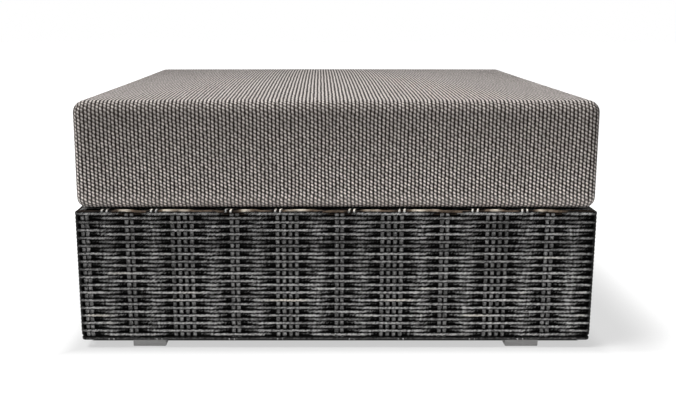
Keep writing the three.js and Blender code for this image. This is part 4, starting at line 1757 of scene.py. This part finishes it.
@dataclass
class Cushion:
    """The cushion: its tweed cover, puffed by a short cloth simulation, and the fill inside."""

    edge_lines: int = 4
    outer_lines: tuple[int, int, int] = (4, 4, 5)
    line_pitch: float = 0.0135
    radius: float = 0.0185
    low_radius: float = 0.0155
    fuller: float = 0.0012
    crown: float = 0.0042
    draw_in: float = 0.0026
    edge_lift: float = 0.0030
    resting_share: float = 0.8
    full_radius_share: float = 1.6
    back_blend: Span = (0.90, 0.99)
    thickness: float = 0.0014
    slot_half_height: float = 0.008
    slot_end: float = 0.010
    slot_depth: float = 0.01
    slot_facing: float = 0.9
    pressure: float = 4.0
    quality: int = 6
    mass: float = 0.35
    stiffness: float = 40.0
    bending: float = 3.0
    steps: int = 20
    held_depth: float = 0.006
    held_half_height: float = 0.045
    top_lift: float = 0.0020
    most_puff: float = 0.0028
    most_sideways: float = 0.0008
    sideways_from: float = 0.02
    above_deck: float = 0.0004
    fill_inset: float = 0.0026
    fill_behind: float = 0.0006
    fill_gap: float = 0.0003
    fill_radius: float = 0.0165
    fill_segments: int = 5
    fill_cuts: int = 23
    fill_cut_share: float = 0.9
    cover_fill: float = 0.92
    layer_fill: float = 0.8

    def __post_init__(self) -> None:
        """Takes the cushion's size from the frame."""
        low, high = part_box("cushion_cover")
        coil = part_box("zip_coil")
        self.half = (high.x - low.x) / 2
        self.bottom = low.z
        self.centre_z = (coil[0].z + coil[1].z) / 2
        self.half_height = self.centre_z - low.z
        self.slot_half_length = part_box("zip_tape_upper")[1].x - self.slot_end

    def lines(self, half: float, radius: float, fixed: float, count: int) -> list[float]:
        """Where the grid lines lie along one axis: an even middle and closer edges.

        Args:
            half: half the size along that axis.
            radius: the radius of the rounded edge.
            fixed: a place that has a line of its own on both sides.
            count: how many lines lie between the fixed place and the rounding.

        Returns:
            The places, from the lowest to the highest.
        """
        inner = half - radius
        edge = [inner + radius * math.tan(math.pi / 4 * i / self.edge_lines)
                for i in range(self.edge_lines + 1)]
        outside = list(np.linspace(fixed, inner, count, endpoint=False)) if inner > fixed else [fixed]
        within = list(np.linspace(0.0, fixed, max(2, round(fixed / self.line_pitch)), endpoint=False))[1:]
        positive = within + outside + edge
        return [-v for v in reversed(positive)] + [0.0] + positive

    def unrolled(self, value: float, half: float, radius: float) -> float:
        """The length along the cloth from the middle to a line, round the edge.

        Args:
            value: where the line lies along the axis.
            half: half the size along that axis.
            radius: the radius of the rounded edge.

        Returns:
            The length, with the sign of the line's place.
        """
        inner = half - radius
        beyond = abs(value) - inner
        if beyond <= 0:
            return value
        return math.copysign(inner + radius * math.atan(beyond / radius), value)

    def grid(self) -> Object:
        """A cube cut into the grid, with its UV map in metres of cloth.

        Returns:
            The cover's form.
        """
        halves = [self.half + self.fuller, self.half + self.fuller, self.half_height]
        fixed = [self.slot_half_length, self.slot_half_length, self.slot_half_height]
        lines = [self.lines(h, self.radius, f, c) for h, f, c in zip(halves, fixed, self.outer_lines)]
        cover = start_box("cushion_tweed_cover", (-0.5, -0.5, -0.5), (0.5, 0.5, 0.5))
        for axis in range(3):
            cuts = len(lines[axis]) - 2
            edit(cover, Part.EDGES, edges_along(axis), lambda: bpy.ops.mesh.subdivide(number_cuts=cuts))
        mesh = cover.data
        corners = corners_of(mesh)
        places = np.zeros_like(corners)
        cloth = np.zeros_like(corners)
        for axis in range(3):
            index = np.rint((corners[:, axis] + 0.5) * (len(lines[axis]) - 1)).astype(int)
            places[:, axis] = np.array(lines[axis])[index]
            lengths = [self.unrolled(v, halves[axis], self.radius) for v in lines[axis]]
            cloth[:, axis] = np.array(lengths)[index]
        self.map_cloth(mesh, cloth)
        place_corners(mesh, self.rounded(places, halves))
        return cover

    def map_cloth(self, mesh: Mesh, cloth: np.ndarray) -> None:
        """Writes the UV map: the boxing in one strip, the top and underside on from the front.

        Args:
            mesh: the cube's mesh, still with square sides.
            cloth: each vertex's place in metres of cloth from the middle.
        """
        layer = mesh.uv_layers.new(name="UVMap") if not mesh.uv_layers else mesh.uv_layers[0]
        layer.name = "UVMap"
        reach, rise = cloth[:, 0].max(), cloth[:, 2].max()
        flat = np.zeros((len(mesh.loops), 2), np.float32)
        for face in mesh.polygons:
            normal = face.normal
            for loop in face.loop_indices:
                x, y, z = cloth[mesh.loops[loop].vertex_index]
                if normal.z > 0.5:
                    flat[loop] = (x, rise + reach + y)
                elif normal.z < -0.5:
                    flat[loop] = (x, -rise - reach - y)
                elif normal.y < -0.5:
                    flat[loop] = (x, z)
                elif normal.x > 0.5:
                    flat[loop] = (2 * reach + y, z)
                elif normal.y > 0.5:
                    flat[loop] = (4 * reach - x, z)
                else:
                    flat[loop] = (-2 * reach - y, z)
        layer.data.foreach_set("uv", flat.ravel())

    def rounded(self, places: np.ndarray, halves: Sequence[float]) -> np.ndarray:
        """Rounds the block's edges, swells it, and brings its back to the zip.

        Args:
            places: points on the square block.
            halves: half its size along each axis.

        Returns:
            The same points on the cushion's form, at its height.
        """
        rise = smoothstep(0.5 + places[:, 2:3] / (self.full_radius_share * self.half_height))
        radius = self.low_radius + (self.radius - self.low_radius) * rise
        core = np.array(halves)[None, :] - radius
        nearest = np.clip(places, -core, core)
        out = places - nearest
        out *= radius / np.linalg.norm(out, axis=1, keepdims=True)
        point = self.swell(nearest + out)
        back = smoothstep(ramp(point[:, 1] / self.half, self.back_blend))
        point[:, 1] -= self.fuller * back
        top = smoothstep((point[:, 2] - self.centre_z) / self.half_height)
        point[:, 2] += self.top_lift * top
        return point

    def swell(self, point: np.ndarray) -> np.ndarray:
        """Crowns the top, draws the sides in and lifts the lower edge, and adds the height.

        Args:
            point: points about the middle of the cushion.

        Returns:
            The moved points.
        """
        across, along = point[:, 0] / self.half, point[:, 1] / self.half
        up = 0.5 + point[:, 2] / (2 * self.half_height)
        outside = np.maximum(np.abs(across), np.abs(along)) - self.resting_share
        rim = np.maximum(0.0, outside / (1 - self.resting_share)) ** 2
        fullness = (1 - across ** 2) * (1 - along ** 2)
        point[:, 2] += self.crown * fullness * up + self.edge_lift * rim * (1 - up) + self.centre_z
        point[:, 0] -= self.draw_in * across * (1 - along ** 2)
        point[:, 1] -= self.draw_in * np.minimum(along, 0.0) * (1 - across ** 2)
        return point

    def puff(self, cover: Object) -> None:
        """Presses the cloth out from inside for a few frames, and holds how far it goes.

        Args:
            cover: the cushion's form, which is changed.
        """
        mesh = cover.data
        rest = corners_of(mesh)
        facing = np.array([v.normal for v in mesh.vertices])
        held = cover.vertex_groups.new(name="held")
        near_zip = np.abs(rest[:, 2] - self.centre_z) < self.held_half_height
        still = near_zip & (rest[:, 1] > self.half - self.held_depth)
        held.add([int(i) for i in np.nonzero(still)[0]], 1.0, "REPLACE")
        take(cover)
        modifier = cover.modifiers.new("Filling", "CLOTH")
        settings = modifier.settings
        settings.quality = self.quality
        settings.mass = self.mass
        settings.tension_stiffness = settings.compression_stiffness = self.stiffness
        settings.bending_stiffness = self.bending
        settings.use_pressure = True
        settings.uniform_pressure_force = self.pressure
        settings.vertex_group_mass = "held"
        settings.effector_weights.gravity = 0.0
        modifier.collision_settings.use_collision = False
        scene = bpy.context.scene
        for number in range(1, self.steps + 1):
            scene.frame_set(number)
        bpy.ops.object.modifier_apply(modifier=modifier.name)
        scene.frame_set(1)
        cover.vertex_groups.clear()
        move = corners_of(mesh) - rest
        out = (move * facing).sum(axis=1, keepdims=True)
        sideways = move - out * facing
        drift = np.linalg.norm(sideways, axis=1, keepdims=True)
        sideways *= np.minimum(1.0, self.most_sideways / np.maximum(drift, SAME ** 2))
        greatest = float(out.max())
        swelling = np.clip(out, 0.0, None) * (self.most_puff / max(greatest, self.most_puff))
        place = rest + facing * swelling + sideways * (rest[:, 2:3] > self.bottom + self.sideways_from)
        place[still] = rest[still]
        place[:, 1] = np.minimum(place[:, 1], self.half)
        place[:, 2] = np.maximum(place[:, 2], self.bottom + self.above_deck)
        place_corners(mesh, place)
        log.info("cover: the filling swelled the cloth by up to %.1f mm", greatest / MM)

    def open_slot(self, cover: Object) -> None:
        """Cuts the slot for the zip into the back of the cover."""
        def inside(centre: Vector, normal: Vector) -> bool:
            """Whether a face lies in the slot."""
            return (normal.y > self.slot_facing and centre.y > self.half - self.slot_depth
                    and abs(centre.x) < self.slot_half_length
                    and abs(centre.z - self.centre_z) < self.slot_half_height)

        edit(cover, Part.FACES, inside, lambda: bpy.ops.mesh.delete(type="FACE"))

    def cover(self, finish: Material) -> Object:
        """Models the cover: grid, form, filling, slot, one subdivision and the cloth's thickness.

        Args:
            finish: its material.

        Returns:
            The cover.
        """
        cover = self.grid()
        self.puff(cover)
        add_modifier(cover, "SUBSURF", levels=1, render_levels=1)
        self.open_slot(cover)
        add_modifier(cover, "SOLIDIFY", thickness=self.thickness, offset=-1.0)
        take(cover)
        bpy.ops.object.shade_smooth()
        dress(cover, finish, "cushion", Finish.TWEED.value, "cushion_cover")
        return cover

    def filling(self, node: str, name: str, finish: Material, slot: str, rounded: tuple[int, ...]) -> Object:
        """Models one layer of the fill: a soft-edged slab that follows the cushion's form.

        Args:
            node: the CAD node that it stands for.
            name: the piece's name.
            finish: its material.
            slot: the record's material slot.
            rounded: -1 for a rounded underside and 1 for a rounded top.

        Returns:
            The layer.
        """
        low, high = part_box(node)
        reach = self.half - self.fill_inset
        back = min(reach, high.y - self.fill_behind)
        limit = self.half_height - self.fill_inset
        floor = -limit if -1 in rounded else low.z - self.centre_z + self.fill_gap
        ceiling = limit if 1 in rounded else high.z - self.centre_z - self.fill_gap
        slab = start_box(name, (-reach, -reach, floor), (reach, back, ceiling))
        edit(slab, Part.EDGES, edges_along(2), lambda: bevel(self.radius, self.fill_segments))
        for side, level in ((-1, floor), (1, ceiling)):
            if side in rounded:
                edit(
                    slab, Part.EDGES,
                    lambda a, b, level=level: max(abs(a.z - level), abs(b.z - level)) < SAME,
                    lambda: bevel(self.fill_radius, self.fill_segments),
                )
        take(slab)
        bpy.ops.object.mode_set(mode="EDIT")
        cut_reach = reach * self.fill_cut_share
        for axis in range(2):
            for place in np.linspace(-cut_reach, cut_reach, self.fill_cuts):
                bpy.ops.mesh.select_all(action="SELECT")
                point = [0.0, 0.0, 0.0]
                point[axis] = float(place)
                bpy.ops.mesh.bisect(plane_co=point, plane_no=[float(i == axis) for i in range(3)])
        bpy.ops.object.mode_set(mode="OBJECT")
        place_corners(slab.data, self.swell(corners_of(slab.data)))
        soften(slab, 60)
        dress(slab, finish, "cushion", slot, node)
        return slab

    def build(self, finishes: dict[Finish, Material]) -> None:
        """Makes the cover and the three layers of the fill.

        Args:
            finishes: every material, under its finish.
        """
        cover = self.cover(finishes[Finish.TWEED])
        log.info("%s: %d faces", cover.name, len(cover.data.polygons))
        layers = (
            ("foam_core", "foam_core_block", Finish.FOAM, ()),
            ("wadding_top", "wadding_top_layer", Finish.WADDING, (1,)),
            ("wadding_bottom", "wadding_bottom_layer", Finish.WADDING, (-1,)),
        )
        for node, name, finish, rounded in layers:
            piece = self.filling(node, name, finishes[finish], finish.value, rounded)
            log.info("%s: %d faces", piece.name, len(piece.data.polygons))


# Zip


@dataclass
class Zip:
    """The zip in the back of the cover: tapes, teeth, stops, slider and pull."""

    tooth_pitch: float = 0.0024
    tooth_length: float = 0.0030
    tooth_width: float = 0.0013
    tooth_edge: float = 0.0003
    tooth_bite: float = 0.0003
    teeth_from_end: float = 0.002
    spine_inset: float = 0.0008
    spine_depth: float = 0.0007
    tape_cuts: int = 60
    tape_edge: float = 0.0002
    stop_steps: Outline = ((0.0011, 0.0), (0.0004, -0.0004))
    stop_edge: float = 0.0004
    cast_edge: float = 0.00035
    stitch_pitch: float = 0.0042
    stitch_length: float = 0.0029
    stitch_radius: float = 0.0003
    stitch_sides: int = 6
    stitch_tilt: float = 4.0
    stitch_lift: float = 0.00005
    stitch_end_shares: Pair = (0.45, 0.5)
    stitch_from_slot: float = 0.0035

    def teeth(self, finish: Material) -> Object:
        """One tooth of the coil, copied along both rows.

        Args:
            finish: their material.

        Returns:
            The teeth, as one piece.
        """
        low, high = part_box("zip_coil")
        centre_z = (low.z + high.z) / 2
        depth = high.y - low.y
        tooth = start_box("zip_tooth", (-self.tooth_width / 2, 0.0, -self.tooth_length / 2),
                          (self.tooth_width / 2, depth, self.tooth_length / 2))
        edit(tooth, Part.FACES, faces_along(1, 1), lambda: inset_steps((self.tooth_width / 4, 0.0)))
        round_edges(tooth, self.tooth_edge, segments=1)
        count = int((high.x - low.x - 2 * self.teeth_from_end) / self.tooth_pitch)
        places = []
        for row, side in enumerate((-1, 1)):
            for i in range(count):
                x = low.x + self.teeth_from_end + (i + 0.5 * row) * self.tooth_pitch
                z = centre_z + side * (self.tooth_length / 2 - self.tooth_bite)
                places.append(Matrix.Translation((x, low.y, z)))
        teeth = repeat_shape("zip_teeth", tooth, places)
        spine = start_box("zip_spine", (low.x, low.y, low.z + self.spine_inset),
                          (high.x, low.y + self.spine_depth, high.z - self.spine_inset))
        teeth = join_pieces("zip_teeth", [teeth, spine])
        return dress(teeth, finish, "cushion", Finish.COIL.value, "zip_coil")

    def tape(self, which: str, finish: Material) -> Object:
        """One tape: a thin strip with rounded edges, cut across along its length.

        Args:
            which: upper or lower.
            finish: its material.

        Returns:
            The tape.
        """
        low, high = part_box(f"zip_tape_{which}")
        tape = start_box(f"zip_tape_{which}_woven", low, high)
        edit(tape, Part.EDGES, edges_along(0), lambda: bpy.ops.mesh.subdivide(number_cuts=self.tape_cuts))
        round_edges(tape, self.tape_edge, segments=2)
        soften(tape, 50)
        return dress(tape, finish, "cushion", Finish.TAPE.value, f"zip_tape_{which}")

    def stop(self, hand: str, finish: Material) -> Object:
        """One stop: a small block with rounded edges, crimped in the middle.

        Args:
            hand: left or right.
            finish: its material.

        Returns:
            The stop.
        """
        low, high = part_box(f"zip_stop_{hand}")
        stop = start_box(f"zip_stop_{hand}_crimped", low, high)
        edit(stop, Part.FACES, faces_along(1, 1), lambda: inset_steps(*self.stop_steps))
        round_edges(stop, self.stop_edge, degrees=40)
        soften(stop, 40)
        return dress(stop, finish, "cushion", Finish.METAL.value, f"zip_stop_{hand}")

    def cast(self, node: str, finish: Material) -> Object:
        """The slider or the pull: a copy of its CAD piece, merged, with its edges rounded.

        Args:
            node: its CAD node, which has its body's name.
            finish: its material.

        Returns:
            The new piece.
        """
        piece = copy_piece(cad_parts[node], f"{node}_cast", Matrix())
        piece.parent = None
        for key in list(piece.keys()):
            del piece[key]
        take(piece)
        bpy.ops.object.mode_set(mode="EDIT")
        bpy.ops.mesh.select_all(action="SELECT")
        bpy.ops.mesh.remove_doubles(threshold=SAME)
        bpy.ops.mesh.dissolve_limited(angle_limit=math.radians(1))
        bpy.ops.object.mode_set(mode="OBJECT")
        soften(round_edges(piece, self.cast_edge, degrees=35), 40)
        return dress(piece, finish, node, Finish.METAL.value, node)

    def stitches(self, finish: Material, cushion: Cushion) -> Object:
        """Two rows of stitches in the cover, above and below the slot.

        Args:
            finish: their material.
            cushion: the cushion, with the slot.

        Returns:
            The stitches, as one piece.
        """
        stitch = start_rod("zip_stitch", Vector((-self.stitch_length / 2, 0, 0)), Vector((1, 0, 0)),
                           self.stitch_radius, self.stitch_length, self.stitch_sides)
        ends = tuple(self.stitch_radius * share for share in self.stitch_end_shares)
        edit(stitch, Part.FACES, lambda centre, normal: abs(normal.x) > FACING, lambda: inset_steps(ends))
        reach = cushion.slot_half_length + self.stitch_from_slot
        count = int(2 * reach / self.stitch_pitch)
        lift = cushion.slot_half_height + self.stitch_from_slot
        tilt = Matrix.Rotation(math.radians(self.stitch_tilt), 4, "Y")
        places = []
        for side in (-1, 1):
            for i in range(count):
                x = -reach + (i + 0.5) * self.stitch_pitch
                z = cushion.centre_z + side * lift
                places.append(Matrix.Translation((x, cushion.half + self.stitch_lift, z)) @ tilt)
        rows = repeat_shape("zip_topstitching", stitch, places)
        return dress(rows, finish, "cushion", Finish.TWEED.value)

    def build(self, finishes: dict[Finish, Material], cushion: Cushion) -> None:
        """Makes every piece of the zip.

        Args:
            finishes: every material, under its finish.
            cushion: the cushion that it closes.
        """
        self.teeth(finishes[Finish.COIL])
        for which in ("upper", "lower"):
            self.tape(which, finishes[Finish.TAPE])
        for hand in ("left", "right"):
            self.stop(hand, finishes[Finish.METAL])
        for node in ("zip_slider", "zip_pull"):
            self.cast(node, finishes[Finish.METAL])
        self.stitches(finishes[Finish.THREAD], cushion)
        log.info("zip: teeth, 2 tapes, 2 stops, slider, pull and topstitching")


# Stage


@dataclass(frozen=True)
class Lamp:
    """A soft square lamp that looks at a point."""

    name: str
    place: tuple[float, float, float]
    target: tuple[float, float, float]
    size: float
    power: float
    spread: float

    def add(self) -> None:
        """Adds the lamp to the scene."""
        data = bpy.data.lights.new(self.name, "AREA")
        data.shape = "SQUARE"
        data.size = self.size
        data.energy = self.power
        data.spread = math.radians(self.spread)
        lamp = add_object(self.name, data)
        lamp.location = self.place
        look = Vector(self.target) - Vector(self.place)
        lamp.rotation_euler = look.to_track_quat("-Z", "Y").to_euler()


@dataclass
class Stage:
    """The pale floor, the studio light and the camera at the photograph's angle."""

    lens: float = 48.93
    sensor: float = 36.0
    camera_place: tuple[float, float, float] = (-0.02484, -1.77275, 0.51866)
    camera_fall: float = 12.17
    camera_shift: float = 0.0269
    ambient: float = 0.26
    lamps: tuple[Lamp, ...] = (
        Lamp("key", (-1.35, -0.75, 2.90), (0.22, -0.42, 0.2), 1.8, 14.6, 36),
        Lamp("front", (0.0, -3.4, 0.55), (0.0, 0.0, 0.2), 1.8, 1.20, 150),
    )
    floor_half: float = 14.0
    floor_lit: Colour = grey(0.80)
    # Painted shadow: the colours and spans of a shadow painted on the floor round and under the object.
    floor_near: Colour = grey(0.20)
    painted_shadow_under: Colour = grey(0.04)
    shade_inset: float = 0.024
    near: Span = (0.3645, 0.3692)
    near_glow: float = 0.578
    beside: Span = (0.402, 0.440)
    beside_glow: float = 0.09
    before: Span = (0.402, 0.436)
    before_glow: float = 0.12
    far: Span = (0.465, 0.62)
    far_glow: float = 0.36

    def camera(self) -> None:
        """Places the camera, fitted to the photograph's corners in its 676 by 420 frame."""
        data = bpy.data.cameras.new("camera")
        data.lens = self.lens
        data.sensor_width = self.sensor
        data.shift_x = self.camera_shift
        data.dof.use_dof = False
        camera = add_object("camera", data)
        camera.location = self.camera_place
        camera.rotation_euler = (math.radians(90 - self.camera_fall), 0.0, 0.0)
        bpy.context.scene.camera = camera

    def seen_share(self, graph: Graph) -> Value:
        """1 for camera, glossy and transmission rays, and 0 for the rest.

        Args:
            graph: the tree that asks.

        Returns:
            That value.
        """
        path = graph.add("LightPath", {}, "Is Camera Ray")
        either = graph.maths("MAXIMUM", path, path.beside("Is Glossy Ray"))
        return graph.maths("MAXIMUM", either, path.beside("Is Transmission Ray"))

    def floor(self) -> None:
        """A wide pale floor that stays white where it is lit and keeps the object's shadow, with a painted
        shadow round and under the object.
        """
        deselect()
        bpy.ops.mesh.primitive_plane_add(size=2 * self.floor_half)
        floor = bpy.context.object
        floor.name = "floor"
        graph = Graph(bpy.data.materials.new("floor"))
        seen = self.seen_share(graph)
        x, y, _ = graph.split(graph.add("TexCoord", {}, "Object"))
        reach = graph.maths("MAXIMUM", graph.maths("ABSOLUTE", x), graph.maths("ABSOLUTE", y))
        lit_side = graph.maths("MINIMUM", x, y) * -1.0
        # Painted shadow: camera rays see less glow near the box and a near-black floor under it.
        under = graph.maths("MAXIMUM", y * -1.0, reach - self.shade_inset)
        near = graph.remap(under, self.near)
        glow = graph.remap(reach, self.beside) * self.beside_glow + near * self.near_glow
        glow = graph.remap(lit_side, self.before) * self.before_glow + glow
        glow = graph.remap(reach, self.far) * self.far_glow + glow
        lit = graph.add("BsdfDiffuse", {"Color": self.floor_lit})
        painted_light = graph.add("BsdfDiffuse", {"Color": graph.blend(near, self.painted_shadow_under, self.floor_near)})
        bright = graph.add("Emission", {"Color": grey(1.0), "Strength": glow})
        mixed = graph.add("MixShader", {0: seen, 1: lit, 2: graph.add("AddShader", {0: painted_light, 1: bright})})
        beneath = graph.add("NewGeometry", {}, "Backfacing") * seen
        clear = graph.add("BsdfTransparent", {})
        graph.end("OutputMaterial", graph.add("MixShader", {0: beneath, 1: mixed, 2: clear}))
        floor.data.materials.append(graph.owner)

    def world(self) -> None:
        """A dim even sky that looks white."""
        world = bpy.data.worlds.new("studio")
        bpy.context.scene.world = world
        graph = Graph(world)
        strength = graph.remap(self.seen_share(graph), (0.0, 1.0), (self.ambient, 1.0), smooth=False)
        graph.end("OutputWorld", graph.add("Background", {"Color": grey(1.0), "Strength": strength}))

    def build(self) -> None:
        """Makes the whole stage."""
        bpy.context.scene.view_settings.view_transform = "Standard"
        self.camera()
        self.floor()
        self.world()
        for lamp in self.lamps:
            lamp.add()
        log.info("stage: floor, sky, %d lamps and the camera", len(self.lamps))


def main() -> None:
    """Builds the footstool piece by piece round the frame, and then its stage."""
    logging.basicConfig(level=logging.INFO, format="%(name)s: %(message)s")
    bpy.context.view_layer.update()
    finishes = make_finishes()
    WovenBox().build(finishes)
    Frame().build(finishes)
    Feet().build(finishes)
    cushion = Cushion()
    cushion.build(finishes)
    Zip().build(finishes, cushion)
    Stage().build()


if __name__ == "__main__":
    main()
